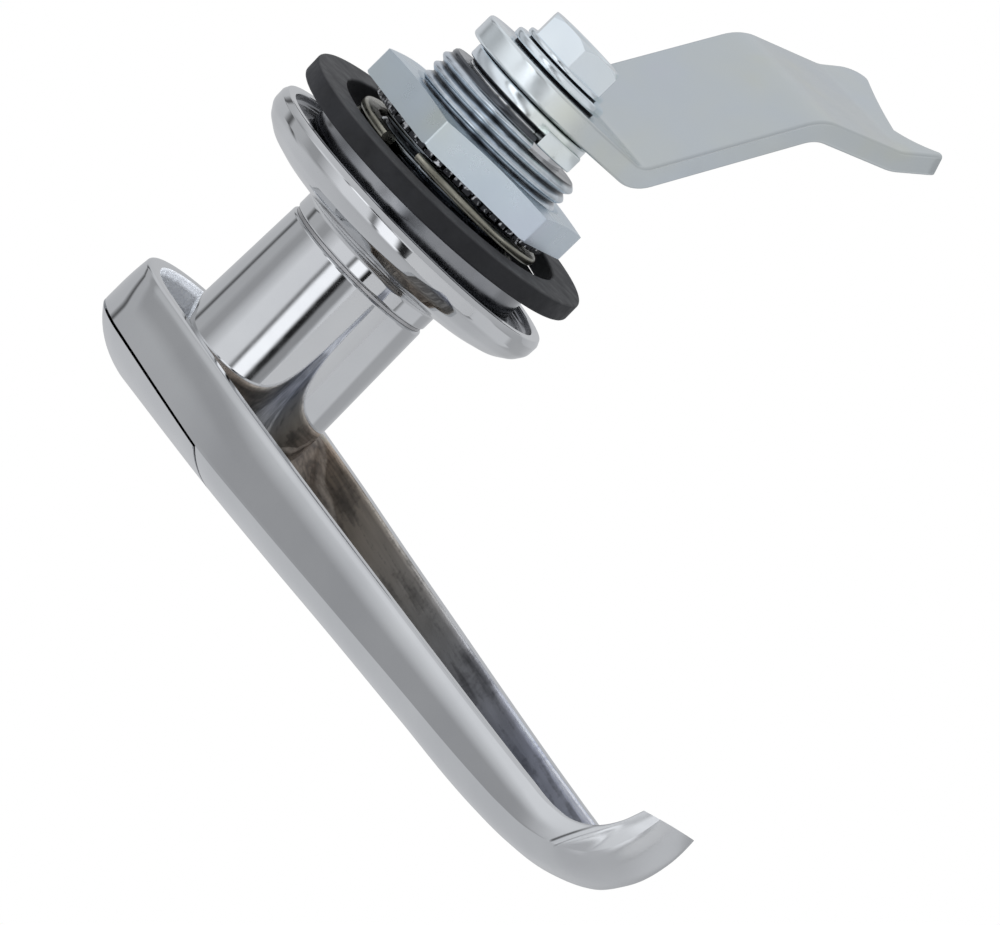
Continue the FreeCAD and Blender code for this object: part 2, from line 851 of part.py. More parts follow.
def make_plug():
    """Key plug: lipped barrel with its keyway and wafer slots, drive rod and crank pin."""
    body = new_body("plug")
    front = S.sleeve_front_along + S.running_gap
    drive_end = S.bolt_low_along - S.running_gap
    clip_low = S.sleeve_back_along + S.seat_gap
    turned(
        body,
        "barrel",
        [
            (0, front),
            (S.plug_lip_radius, front),
            (S.plug_lip_radius, front + S.plug_lip_height),
            (S.plug_radius, front + S.plug_lip_height),
            (S.plug_radius, S.plug_back_along),
            (S.drive_radius, S.plug_back_along),
            (S.drive_radius, clip_low - S.seat_gap),
            (S.clip_groove_radius, clip_low - S.seat_gap),
            (S.clip_groove_radius, clip_low + S.clip_height + S.seat_gap),
            (S.drive_radius, clip_low + S.clip_height + S.seat_gap),
            (S.drive_radius, drive_end),
            (0, drive_end),
        ],
    )
    raised(
        body,
        "crank_pin",
        drive_end - 0.3,
        S.crank_end_along - drive_end + 0.3,
        circle=((S.crank_throw, 0), S.crank_radius),
    )
    last_wafer = S.wafer_first_along + S.wafer_pitch * (WAFER_COUNT - 1)
    sunk(
        body,
        "keyway",
        front - 1,
        last_wafer + S.wafer_height + 0.5 - front + 1,
        box_corners(-S.key_slot_width / 2, S.key_slot_width / 2, -S.key_slot_height / 2, S.key_slot_height / 2),
    )
    half = S.wafer_width / 2 + S.running_gap
    for index in range(WAFER_COUNT):
        low = S.wafer_first_along + S.wafer_pitch * index - S.running_gap
        height = S.wafer_height + 2 * S.running_gap
        corners = box_corners(-half, half, -S.plug_radius - 1, S.wafer_slot_foot)
        sunk(body, f"wafer_slot_{index}", low, height, corners)
    finish_piece(body, "key_plug")


def make_wafers():
    """Wafers of the key plug, drawn back as with the key in, and the small springs under them."""
    wafers = []
    springs = []
    window_half = S.wafer_window_width / 2
    window_length = S.wafer_top + S.wafer_foot - 2 * S.wafer_border
    for index in range(WAFER_COUNT):
        low = S.wafer_first_along + S.wafer_pitch * index
        plate = block(
            f"wafer_plate_{index}",
            -S.wafer_width / 2,
            S.wafer_width,
            -S.wafer_top,
            S.wafer_top + S.wafer_foot,
            low,
            S.wafer_height,
        )
        window = block(
            f"wafer_window_{index}",
            -window_half,
            S.wafer_window_width,
            S.wafer_border - S.wafer_top,
            window_length,
            low - 1,
            S.wafer_height + 2,
        )
        wafers.append(cut(f"wafer_{index}", plate, window))
        spring_low = S.wafer_foot + S.running_gap
        spring_length = S.wafer_slot_foot - S.wafer_foot - 2 * S.running_gap
        outer = cylinder(f"wafer_spring_outer_{index}", S.wafer_spring_radius, 0, spring_length)
        inner = cylinder(f"wafer_spring_inner_{index}", S.wafer_spring_radius / 2, 0, spring_length)
        for solid in (outer, inner):
            solid.Placement.Rotation = FreeCAD.Rotation(X_AXIS, -90)
            bind(solid, "Placement.Base.y", spring_low)
            bind(solid, "Placement.Base.z", low + S.wafer_height / 2)
        springs.append(cut(f"wafer_spring_{index}", outer, inner))
    for name, solids in (("wafers", wafers), ("wafer_springs", springs)):
        group = doc.addObject("Part::Compound", f"{name}_group")
        group.Links = solids
        finish_piece(group, name)


def make_plug_clip():
    """Open retaining clip in the groove behind the sleeve."""
    low = S.sleeve_back_along + S.seat_gap
    disc = tube("plug_clip", S.clip_radius, S.clip_groove_radius + S.seat_gap, low, S.clip_height)
    opening = block(
        "plug_clip_opening", -S.clip_opening / 2, S.clip_opening, 0, S.clip_radius + 1, low - 1, S.clip_height + 2
    )
    finish_piece(cut("plug_clip_open", disc, opening), "plug_clip")


def make_locking_bolt():
    """Sliding bolt across the tail, with the slot that the crank pin runs in."""
    blank = common(
        "bolt_blank",
        block(
            "bolt_block",
            -S.bolt_width / 2,
            S.bolt_width,
            -S.bolt_tip,
            S.bolt_tip + S.bolt_heel,
            S.bolt_low_along,
            S.bolt_height,
        ),
        cylinder("bolt_round", S.tail_radius - 0.1, S.bolt_low_along - 1, S.bolt_height + 2),
    )
    slot_low = -S.crank_radius - S.running_gap
    yoke = block(
        "bolt_yoke",
        slot_low,
        S.crank_throw + 2 * S.crank_radius + 2 * S.running_gap,
        -S.crank_radius - S.yoke_lost_motion,
        2 * S.crank_radius + S.yoke_lost_motion + S.running_gap,
        S.bolt_low_along - 1,
        S.crank_end_along - S.bolt_low_along + 1 + 0.2,
    )
    finish_piece(cut("bolt_solid", blank, yoke), "locking_bolt")


def make_seal():
    """Sealing ring in the groove of the tail."""
    torus = doc.addObject("Part::Torus", "seal_solid")
    bind(torus, "Radius1", S.seal_radius)
    bind(torus, "Radius2", S.seal_section_radius)
    finish_piece(torus, "shaft_seal", S.seal_along)


# Housing

def make_flange():
    """Round flange with its collar, hollow back and the boss that passes through the door."""
    body = new_body("flange_body")
    bore = S.tail_radius + S.running_gap
    seat = S.barrel_radius + S.seat_gap
    rim_inner = S.flange_radius - S.flange_rim_width
    turned(
        body,
        "wall",
        [
            (bore, S.collar_front_along),
            (S.flange_collar_radius, S.collar_front_along),
            (S.flange_collar_radius, S.collar_back_along),
            (S.flange_slope_radius, S.flange_slope_along),
            (S.flange_radius, S.flange_slope_along + S.flange_radius - S.flange_slope_radius),
            (S.flange_radius - 0.4, 0),
            (rim_inner, 0),
            (rim_inner, S.flange_recess_along),
            (S.boss_radius, S.flange_recess_along),
            (S.boss_radius, S.boss_end_along),
            (seat, S.boss_end_along),
            (seat, S.barrel_front_along),
            (bore, S.barrel_front_along),
        ],
        {3: ((S.flange_slope_radius, S.flange_slope_along + S.flange_radius - S.flange_slope_radius), True)},
    )
    finish_piece(body, "flange")


def make_barrel():
    """Threaded barrel with the two notches for the locking bolt and the recess for the stop washer's ear."""
    body = new_body("barrel_body")
    bore = S.tail_radius + S.running_gap
    root = S.thread_radius - S.thread_depth
    corners = [
        (bore, S.barrel_front_along + S.seat_gap),
        (S.barrel_radius, S.barrel_front_along + S.seat_gap),
        (S.barrel_radius, S.boss_end_along),
    ]
    for index in range(THREAD_COUNT):
        for radius, share in ((root, 0.1), (S.thread_radius, 0.45), (S.thread_radius, 0.55), (root, 0.9)):
            corners.append((radius, S.boss_end_along + S.thread_pitch * (index + share)))
    corners += [(root, S.barrel_end_along), (bore, S.barrel_end_along)]
    turned(body, "wall", corners)
    half = S.bolt_width / 2 + S.notch_gap
    reach = S.bolt_tip + S.crank_throw + S.notch_gap
    notch_low = S.bolt_low_along - S.notch_gap
    notch_height = S.bolt_height + 2 * S.notch_gap
    sunk(body, "shut_notch", notch_low, notch_height, box_corners(-half, half, -reach, 0))
    sunk(body, "open_notch", notch_low, notch_height, box_corners(0, reach, -half, half))
    start = S.stop_ear_turn - S.stop_ear_half_angle - S.stop_play_angle
    span = 90 + 2 * S.stop_ear_half_angle + 2 * S.stop_play_angle
    wedge = [(0, 0)]
    for share in (0, 0.35, 0.7, 1):
        angle = start + span * share
        wedge.append((16 * cosine(angle), 16 * sine(angle)))
    sunk(body, "stop_recess", S.barrel_end_along - S.stop_recess_depth, S.stop_recess_depth + 1, wedge)
    finish_piece(body, "threaded_barrel")


def make_neck_washer():
    """Thin washer between the handle's neck and the flange's collar."""
    low = S.neck_shoulder_along + S.seat_gap
    height = S.collar_front_along - S.neck_shoulder_along - 2 * S.seat_gap
    washer = tube("neck_washer_plate", S.neck_washer_radius, S.tail_radius + 2 * S.running_gap, low, height)
    finish_piece(washer, "neck_washer")


def make_gasket():
    """Rubber ring that hangs loose on the boss and leans a little."""
    ring_solid = tube("gasket", S.gasket_radius, S.gasket_hole_radius, -S.gasket_height / 2, S.gasket_height)
    lean = FreeCAD.Rotation(FreeCAD.Vector(-1, 3, 0), SIZES["gasket_lean"])
    finish_piece(ring_solid, "panel_gasket", S.gasket_along + S.gasket_height / 2, S.gasket_sag, lean)


def make_spring_ring():
    """Split spring ring: one flat turn of wire whose ends stand apart."""
    path = doc.addObject("Part::Helix", "ring_path")
    path.LocalCoord = "Left-handed"
    bind(path, "Radius", S.ring_radius)
    bind(path, "Height", S.ring_climb)
    bind(path, "Pitch", S.ring_climb * 360 / S.ring_span)
    section = free_sketch("ring_section", 0, 0, 90)
    inner = S.ring_radius - S.ring_width / 2 + S.ring_height / 2
    outer = S.ring_radius + S.ring_width / 2 - S.ring_height / 2
    draw(
        section,
        [(inner, 0), (outer, 0), (outer, S.ring_height), (inner, S.ring_height)],
        {1: ((outer, S.ring_height / 2), True), 3: ((inner, S.ring_height / 2), True)},
    )
    wire = doc.addObject("Part::Sweep", "ring_wire")
    wire.Sections = [section]
    wire.Spine = (path, ["Edge1"])
    wire.Solid = True
    wire.Frenet = True
    turn = FreeCAD.Rotation(FreeCAD.Vector(0, 0, 1), SIZES["ring_turn"])
    finish_piece(wire, "spring_ring", S.boss_end_along + S.running_gap, 0, turn)


def make_nut():
    """Hexagon nut with a toothed collar underneath."""
    body = new_body("nut_body")
    foot = -S.nut_collar_height
    raised(body, "hexagon", 0, S.nut_height, hexagon(S.nut_across_flats, S.nut_turn))
    raised(body, "collar", foot, S.nut_collar_height + 0.5, circle=((0, 0), S.nut_collar_radius))
    sunk(
        body, "thread_hole", foot - 1, S.nut_collar_height + S.nut_height + 2,
        circles=[((0, 0), S.thread_radius + S.running_gap)],
    )
    edge = S.nut_across_flats / 2 - 0.2
    turned(
        body,
        "chamfer",
        [(edge, S.nut_height), (edge + 3, S.nut_height - 2 * S.nut_chamfer), (edge + 3, S.nut_height)],
        cut=True,
    )
    root = S.nut_collar_radius - S.nut_tooth_depth
    gap = sunk(
        body,
        "tooth_gap",
        foot,
        S.nut_collar_height,
        [
            (root, 0),
            (S.nut_collar_radius + 0.2, -S.nut_tooth_gap / 2),
            (S.nut_collar_radius + 0.2, S.nut_tooth_gap / 2),
        ],
    )
    pattern = body.newObject("PartDesign::PolarPattern", "nut_teeth")
    pattern.Originals = [gap]
    pattern.Axis = (gap.Profile[0], ["N_Axis"])
    pattern.Angle = 360
    pattern.Occurrences = NUT_TOOTH_COUNT
    body.Tip = pattern
    finish_piece(body, "mounting_nut", S.nut_along)


# Stop washer, cam and cam bolt

def make_stop_washer():
    """Washer on the square end, with the ear that stops the handle's turn."""
    body = new_body("stop_body")
    low = S.tail_end_along + S.seat_gap
    height = S.stop_washer_height - 2 * S.seat_gap
    raised(body, "disc", low, height, circle=((0, 0), S.stop_washer_radius))
    start = S.stop_ear_turn - S.stop_ear_half_angle
    finish = S.stop_ear_turn + S.stop_ear_half_angle
    inner = S.tail_radius + 0.15
    outer = S.stop_ear_radius
    corners = [
        (inner * cosine(start), inner * sine(start)),
        (outer * cosine(start), outer * sine(start)),
        (outer * cosine(finish), outer * sine(finish)),
        (inner * cosine(finish), inner * sine(finish)),
    ]
    raised(
        body, "ear", S.tail_end_along - S.stop_ear_step, S.stop_washer_height, corners,
        {1: ((0, 0), True), 3: ((0, 0), False)},
    )
    half = S.square_side / 2 + S.running_gap
    sunk(body, "square_hole", S.tail_end_along - 2, 6, box_corners(-half, half, -half, half))
    finish_piece(body, "stop_washer")


def cam_normal(angle):
    """Direction square to a leg of the cam that climbs at the angle."""
    return sine(angle), cosine(angle)


def moved(point, direction, distance):
    return point[0] + direction[0] * distance, point[1] + direction[1] * distance


def cam_profile():
    """Corners and arcs of the cam seen from the side: the lower face outwards, then the upper face back."""
    flat = as_size(0)
    angles = [flat, S.cam_rise_angle, S.cam_run_angle, S.cam_tip_angle]
    lengths = [S.cam_rise_length, S.cam_run_length, S.cam_tip_length]
    bends = [S.cam_rise_bend_radius, S.cam_run_bend_radius, S.cam_tip_bend_radius]
    thick = S.cam_height
    point = (-S.cam_hub_reach, as_size(0))
    lower = []
    upper = []
    for index, length in enumerate(lengths):
        before, after = angles[index], angles[index + 1]
        inner = bends[index]
        upward = after.number > before.number
        middle = cam_normal((before + after) / 2)
        spread = cosine((after - before) / 2)
        if upward:
            centre = moved(point, middle, (inner + thick) / spread)
            low_reach, high_reach = -(inner + thick), -inner
        else:
            centre = moved(point, middle, -inner / spread)
            low_reach, high_reach = inner, inner + thick
        low = [moved(centre, cam_normal(angle), low_reach) for angle in (before, after)]
        high = [moved(centre, cam_normal(angle), high_reach) for angle in (before, after)]
        lower.append((low, centre, upward))
        upper.append((high, centre, upward))
        point = (point[0] - length * cosine(after), point[1] + length * sine(after))
    corners = [(S.cam_half_width + 1, 0)]
    arcs = {}
    for (start, finish), centre, upward in lower:
        arcs[len(corners)] = (centre, not upward)
        corners += [start, finish]
    end_normal = cam_normal(S.cam_tip_angle)
    stretch = (cosine(S.cam_tip_angle) * -4, sine(S.cam_tip_angle) * 4)
    end = (point[0] + stretch[0], point[1] + stretch[1])
    corners += [end, moved(end, end_normal, thick)]
    for (start, finish), centre, upward in reversed(upper):
        arcs[len(corners)] = (centre, upward)
        corners += [finish, start]
    corners.append((S.cam_half_width + 1, thick))
    return corners, arcs


def make_cam():
    """Cranked cam: round hub with a square hole, steep rise, run and upturned end with a hollow edge."""
    outline, arcs = cam_profile()
    side = free_sketch("cam_side", 0, 0, 90)
    draw(side, outline, arcs)
    side_solid = extruded("cam_side_solid", side, 2 * FAR, symmetric=True)
    half = S.cam_half_width
    corner = S.cam_end_corner
    hollow_radius = 9.77
    end_x, end_y = -S.cam_end_reach, half - 0.65
    plan = free_sketch("cam_plan", 0, -FAR)
    draw(
        plan,
        [
            (0, -half),
            (0, half),
            (end_x + 0.3, half),
            (end_x, end_y),
            (-S.cam_end_hollow_reach, S.cam_end_hollow_down),
            (end_x + 0.4, corner - half),
            (end_x + 0.4 + corner, -half),
        ],
        {
            0: ((0, 0), True),
            3: (hollow_centre((end_x, end_y), (-S.cam_end_hollow_reach, S.cam_end_hollow_down), hollow_radius), False),
            5: ((end_x + 0.4 + corner, corner - half), True),
        },
    )
    plan_solid = extruded("cam_plan_solid", plan, 2 * FAR)
    hole_half = S.square_side / 2 + S.running_gap
    hole = block("cam_hole", -hole_half, 2 * hole_half, -hole_half, 2 * hole_half, -1, S.cam_height + 2)
    cam = cut("cam_solid", common("cam_blank", side_solid, plan_solid), hole)
    finish_piece(cam, "cam", S.tail_end_along + S.stop_washer_height)


def hollow_centre(first, second, radius):
    """Centre of an arc of the radius that runs between two points, on the far side from the hub."""
    middle_x = (first[0].number + second[0].number) / 2
    middle_y = (first[1].number + second[1].number) / 2
    run_x = second[0].number - first[0].number
    run_y = second[1].number - first[1].number
    chord = math.hypot(run_x, run_y)
    reach = math.sqrt(radius * radius - chord * chord / 4)
    return middle_x + run_y / chord * reach, middle_y - run_x / chord * reach


def make_cam_washer():
    low = S.tail_end_along + S.stop_washer_height + S.cam_height + S.seat_gap
    washer = tube(
        "cam_washer_plate", S.cam_washer_radius, S.cam_bolt_radius + S.running_gap, low, S.cam_washer_height
    )
    finish_piece(washer, "cam_washer")


def make_cam_bolt():
    """Hexagon bolt with a thin flange and a dished head."""
    body = new_body("cam_bolt_body")
    seat_along = S.tail_end_along + S.stop_washer_height + S.cam_height + S.cam_washer_height + 2 * S.seat_gap
    turned(
        body,
        "shank",
        [
            (0, -S.cam_bolt_length),
            (S.cam_bolt_radius - 0.5, -S.cam_bolt_length),
            (S.cam_bolt_radius, 0.5 - S.cam_bolt_length),
            (S.cam_bolt_radius, 0),
            (S.cam_bolt_flange_radius, 0),
            (S.cam_bolt_flange_radius, S.cam_bolt_flange_height),
            (0, S.cam_bolt_flange_height),
        ],
    )
    head_low = S.cam_bolt_flange_height - 0.3
    raised(
        body, "hexagon", head_low, S.cam_bolt_head_height - head_low,
        hexagon(S.cam_bolt_across_flats, S.nut_turn),
    )
    edge = S.cam_bolt_across_flats / 2 - 0.2
    top = S.cam_bolt_head_height
    turned(body, "chamfer", [(edge, top), (edge + 2, top - 1.1), (edge + 2, top)], cut=True)
    turned(
        body,
        "dish",
        [
            (0, top - S.cam_bolt_dish_depth),
            (S.cam_bolt_dish_radius - 1, top - S.cam_bolt_dish_depth),
            (S.cam_bolt_dish_radius, top),
            (0, top),
        ],
        cut=True,
    )
    finish_piece(body, "cam_bolt", seat_along)


def check_pieces():
    """Stop if any object failed, any piece has no sound solid, or a cut removed nothing."""
    for thing in doc.Objects:
        if "Invalid" in thing.State or "Error" in thing.State:
            raise SystemExit(f"{thing.Label} failed: {thing.State}")
    for feature in CUTS:
        if feature.Shape.Volume >= feature.BaseFeature.Shape.Volume - 1e-6:
            raise SystemExit(f"{feature.Label} cuts nothing")
    for piece in PIECES:
        shape = piece.Shape
        if shape.isNull() or not shape.isValid() or not shape.Solids:
            raise SystemExit(f"{piece.Label} is not a sound solid")
        box = shape.BoundBox
        print(
            f"{piece.Label:22s} solids {len(shape.Solids)} volume {shape.Volume:10.2f}"
            f"  x {box.XMin:.2f} {box.XMax:.2f}  y {box.YMin:.2f} {box.YMax:.2f}  z {box.ZMin:.2f} {box.ZMax:.2f}"
        )


def write_pieces():
    os.makedirs("parts", exist_ok=True)
    for piece in PIECES:
        piece.Shape.exportStep(f"parts/{piece.Label}.step")


form = make_casting_form()
make_handle(form)
make_cover(form)
make_cover_hardware()
make_sleeve()
make_plug()
make_wafers()
make_plug_clip()
make_locking_bolt()
make_seal()
make_flange()
make_barrel()
make_neck_washer()
make_gasket()
make_spring_ring()
make_nut()
make_stop_washer()
make_cam()
make_cam_washer()
make_cam_bolt()
doc.recompute()
check_pieces()
print(f"spring ring: gap between its turns {SIZES['ring_climb'] - SIZES['ring_height']:.2f} mm, ends apart")
write_pieces()
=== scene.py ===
import json
import math
from collections import namedtuple

import bmesh
import bpy
import numpy as np
from mathutils import Matrix, Vector


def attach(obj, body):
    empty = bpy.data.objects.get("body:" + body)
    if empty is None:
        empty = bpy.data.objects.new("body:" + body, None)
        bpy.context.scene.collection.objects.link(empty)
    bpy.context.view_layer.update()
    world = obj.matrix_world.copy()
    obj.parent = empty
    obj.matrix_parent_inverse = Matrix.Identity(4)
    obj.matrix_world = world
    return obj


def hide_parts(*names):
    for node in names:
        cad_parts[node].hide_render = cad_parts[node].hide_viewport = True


# Cabinet handle lock. Shapes are worked out in millimetres in a working frame: x, down along the arm, and
# along the lock axis. They are written in metres in the row frame: X = x, Y = along, Z = -down.

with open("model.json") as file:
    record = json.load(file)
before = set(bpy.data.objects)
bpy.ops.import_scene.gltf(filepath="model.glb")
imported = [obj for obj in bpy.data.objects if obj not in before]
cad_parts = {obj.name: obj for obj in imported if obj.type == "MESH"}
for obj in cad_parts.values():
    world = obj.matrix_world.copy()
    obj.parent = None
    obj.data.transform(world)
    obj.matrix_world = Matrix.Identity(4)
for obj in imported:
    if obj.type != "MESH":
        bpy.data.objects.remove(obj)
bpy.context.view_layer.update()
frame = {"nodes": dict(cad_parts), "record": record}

MM = 0.001


# Mesh tools

# A fillet takes at most this share of a side
FILLET_LIMIT = 0.49
DISC_SEGMENTS = 256


def smooth_between(low, high, value):
    """Rises smoothly from 0 at low to 1 at high. Low may be the larger of the two."""
    share = min(max((value - low) / (high - low), 0.0), 1.0)
    return share * share * (3 - 2 * share)


def fillet(corners, radii, steps=5):
    """An open line through 2D corners, each rounded to its radius."""
    points = []
    for index, corner in enumerate(corners):
        here = np.array(corner, float)
        radius = radii[index]
        if radius == 0 or index in (0, len(corners) - 1):
            points.append(here)
            continue
        back = np.array(corners[index - 1], float) - here
        ahead = np.array(corners[index + 1], float) - here
        back_length, ahead_length = np.linalg.norm(back), np.linalg.norm(ahead)
        back, ahead = back / back_length, ahead / ahead_length
        half = math.acos(max(-1.0, min(1.0, float(back @ ahead)))) / 2
        reach = min(radius / math.tan(half), FILLET_LIMIT * back_length, FILLET_LIMIT * ahead_length)
        size = reach * math.tan(half)
        middle = (back + ahead) / np.linalg.norm(back + ahead)
        centre = here + middle * size / math.sin(half)
        start = here + back * reach - centre
        finish = here + ahead * reach - centre
        turn = math.atan2(start[0] * finish[1] - start[1] * finish[0], float(start @ finish))
        for step in range(steps + 1):
            angle = turn * step / steps
            c, s = math.cos(angle), math.sin(angle)
            points.append(centre + np.array([start[0] * c - start[1] * s, start[0] * s + start[1] * c]))
    return [tuple(point) for point in points]


def arc(radius, first, last, steps, centre=(0.0, 0.0)):
    """Points on a circle from one angle in degrees to another."""
    angles = [math.radians(first + (last - first) * step / steps) for step in range(steps + 1)]
    return [(centre[0] + radius * math.cos(angle), centre[1] + radius * math.sin(angle)) for angle in angles]


def hexagon(across_flats, turn):
    reach = across_flats / 2 / math.cos(math.radians(30))
    angles = [math.radians(turn + 60 * step) for step in range(6)]
    return [(reach * math.cos(angle), reach * math.sin(angle)) for angle in angles]


def about_axis(line, angle, centre=(0.0, 0.0)):
    """A line of (radius, along) at an angle about an axis along the lock axis."""
    return [
        (centre[0] + radius * math.cos(angle), centre[1] + radius * math.sin(angle), along)
        for radius, along in line
    ]


class Shape:
    """Vertices and faces in the working frame. Faces in second take a piece's second material."""

    def __init__(self):
        self.points = []
        self.faces = []
        self.second = set()

    def grid(self, rows, close_rows=False, close_columns=False, second_columns=()):
        """Faces over rows of equally many points. Some columns may take the second material."""
        first = len(self.points)
        count, width = len(rows), len(rows[0])
        for row in rows:
            self.points.extend([tuple(point) for point in row])
        for i in range(count if close_rows else count - 1):
            for j in range(width if close_columns else width - 1):
                a = first + i * width + j
                b = first + i * width + (j + 1) % width
                c = first + ((i + 1) % count) * width + (j + 1) % width
                d = first + ((i + 1) % count) * width + j
                if j in second_columns:
                    self.second.add(len(self.faces))
                self.faces.append((a, b, c, d))
        return first

    def sweep(self, sections):
        """A bar over closed sections, with a face at each end."""
        first = self.grid(sections, close_columns=True)
        width = len(sections[0])
        last = first + (len(sections) - 1) * width
        self.faces.append(tuple(first + j for j in range(width)))
        self.faces.append(tuple(last + j for j in reversed(range(width))))

    def turned(self, profile, segments, centre=(0.0, 0.0), closed=True, second_columns=()):
        """Turn a profile of (radius, along) about an axis along the lock axis."""
        rows = [about_axis(profile, 2 * math.pi * step / segments, centre) for step in range(segments)]
        self.grid(rows, close_rows=True, close_columns=closed, second_columns=second_columns)

    def prism(self, outline, low, high):
        """A prism on an outline of (x, down)."""
        first = len(self.points)
        count = len(outline)
        self.points.extend([(x, y, low) for x, y in outline] + [(x, y, high) for x, y in outline])
        for j in range(count):
            k = (j + 1) % count
            self.faces.append((first + j, first + k, first + count + k, first + count + j))
        self.faces.append(tuple(first + j for j in range(count)))
        self.faces.append(tuple(first + count + j for j in reversed(range(count))))

    def middle(self, index):
        """Middle of a face."""
        return np.mean([self.points[corner] for corner in self.faces[index]], axis=0)


def make_mesh(name, shape, merge=0.002):
    """A mesh object in the row frame, with doubled points merged and normals outwards."""
    mesh = bpy.data.meshes.new(name)
    mesh.from_pydata([(x * MM, along * MM, -down * MM) for x, down, along in shape.points], [], shape.faces)
    for face in mesh.polygons:
        face.material_index = 1 if face.index in shape.second else 0
    work = bmesh.new()
    work.from_mesh(mesh)
    bmesh.ops.remove_doubles(work, verts=work.verts, dist=merge * MM)
    bmesh.ops.dissolve_degenerate(work, edges=work.edges, dist=merge * MM / 4)
    bmesh.ops.recalc_face_normals(work, faces=work.faces)
    work.to_mesh(mesh)
    work.free()
    thing = bpy.data.objects.new(name, mesh)
    bpy.context.scene.collection.objects.link(thing)
    return thing


def lathe(name, profile, segments, centre=(0.0, 0.0), closed=True, second_columns=()):
    shape = Shape()
    shape.turned(profile, segments, centre, closed, second_columns)
    return make_mesh(name, shape)


def disc(name, radius, low, high, centre=(0.0, 0.0)):
    profile = [(0, low), (radius, low), (radius, high), (0, high)]
    return lathe(name, profile, DISC_SEGMENTS, centre, closed=False)


def extrude(name, outline, low, high):
    shape = Shape()
    shape.prism(outline, low, high)
    return make_mesh(name, shape)


def block(name, x_range, down_range, low, high):
    (x, far_x), (down, far_down) = x_range, down_range
    return extrude(name, [(x, down), (far_x, down), (far_x, far_down), (x, far_down)], low, high)


def carve(thing, tool, operation="DIFFERENCE"):
    """Cut or intersect with another mesh, which is used up."""
    change = thing.modifiers.new("carve", "BOOLEAN")
    change.operation = operation
    change.solver = "EXACT"
    change.object = tool
    bpy.context.view_layer.update()
    result = bpy.data.meshes.new_from_object(thing.evaluated_get(bpy.context.evaluated_depsgraph_get()))
    thing.modifiers.clear()
    old = thing.data
    thing.data = result
    bpy.data.meshes.remove(old)
    bpy.data.objects.remove(tool)


def join(things, name):
    """Put several meshes into one object."""
    work = bmesh.new()
    for thing in things:
        work.from_mesh(thing.data)
    mesh = bpy.data.meshes.new(name)
    work.to_mesh(mesh)
    work.free()
    for thing in things:
        bpy.data.objects.remove(thing)
    joined = bpy.data.objects.new(name, mesh)
    bpy.context.scene.collection.objects.link(joined)
    return joined


def finish_piece(thing, material, node, body, sharp, second=None):
    """Shade a piece, give it its materials and let it stand for its CAD node."""
    indexes = [face.material_index if second else 0 for face in thing.data.polygons]
    thing.data.materials.clear()
    thing.data.materials.append(material)
    if second:
        thing.data.materials.append(second)
    for face, index in zip(thing.data.polygons, indexes):
        face.use_smooth = True
        face.material_index = index
    thing.data.set_sharp_from_angle(angle=math.radians(sharp))
    weighted = thing.modifiers.new("face_weight", "WEIGHTED_NORMAL")
    weighted.keep_sharp = True
    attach(thing, body)
    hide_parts(node)


# Materials

class Tree:
    """Small builder for a node tree."""

    def __init__(self, tree):
        self.tree = tree

    def add(self, kind, **settings):
        node = self.tree.nodes.new(kind)
        for key, value in settings.items():
            setattr(node, key, value)
        return node

    def link(self, source, target):
        """Link an output to an input, or set the input to a number or a colour."""
        if isinstance(source, (int, float, tuple)):
            target.default_value = source
        else:
            self.tree.links.new(source, target)

    def split(self, vector):
        """The X, Y and Z of a vector."""
        node = self.add("ShaderNodeSeparateXYZ")
        self.link(vector, node.inputs[0])
        return node.outputs

    def ramp(self, value, stops):
        """Colours over a value from 0 to 1, by position."""
        node = self.add("ShaderNodeValToRGB")
        while len(node.color_ramp.elements) < len(stops):
            node.color_ramp.elements.new(0.5)
        for element, (position, colour) in zip(node.color_ramp.elements, stops):
            element.position = position
            element.color = (*colour, 1)
        self.link(value, node.inputs["Fac"])
        return node.outputs["Color"]

    def levels(self, value, low, high, low_in=0.3, high_in=0.7, smooth=False):
        """Low where the value is low_in or less, high where it is high_in or more."""
        node = self.add("ShaderNodeMapRange")
        if smooth:
            node.interpolation_type = "SMOOTHSTEP"
        for name, number in (("From Min", low_in), ("From Max", high_in), ("To Min", low), ("To Max", high)):
            node.inputs[name].default_value = number
        self.link(value, node.inputs["Value"])
        return node.outputs["Result"]

    def math(self, operation, first, second):
        node = self.add("ShaderNodeMath", operation=operation)
        self.link(first, node.inputs[0])
        self.link(second, node.inputs[1])
        return node.outputs[0]

    def product(self, first, *others):
        for other in others:
            first = self.math("MULTIPLY", first, other)
        return first

    def between(self, share, first, second):
        """A number that goes from first to second with a share."""
        rest = self.math("SUBTRACT", 1.0, share)
        return self.math("ADD", self.product(first, rest), self.product(second, share))

    def scaled(self, colour, value):
        node = self.add("ShaderNodeVectorMath", operation="SCALE")
        self.link(colour, node.inputs[0])
        self.link(value, node.inputs["Scale"])
        return node.outputs[0]

    def mix(self, share, first, second):
        """A colour that goes from first to second with a share."""
        node = self.add("ShaderNodeMix", data_type="RGBA")
        self.link(share, node.inputs["Factor"])
        self.link(first, node.inputs["A"])
        self.link(second, node.inputs["B"])
        return node.outputs["Result"]


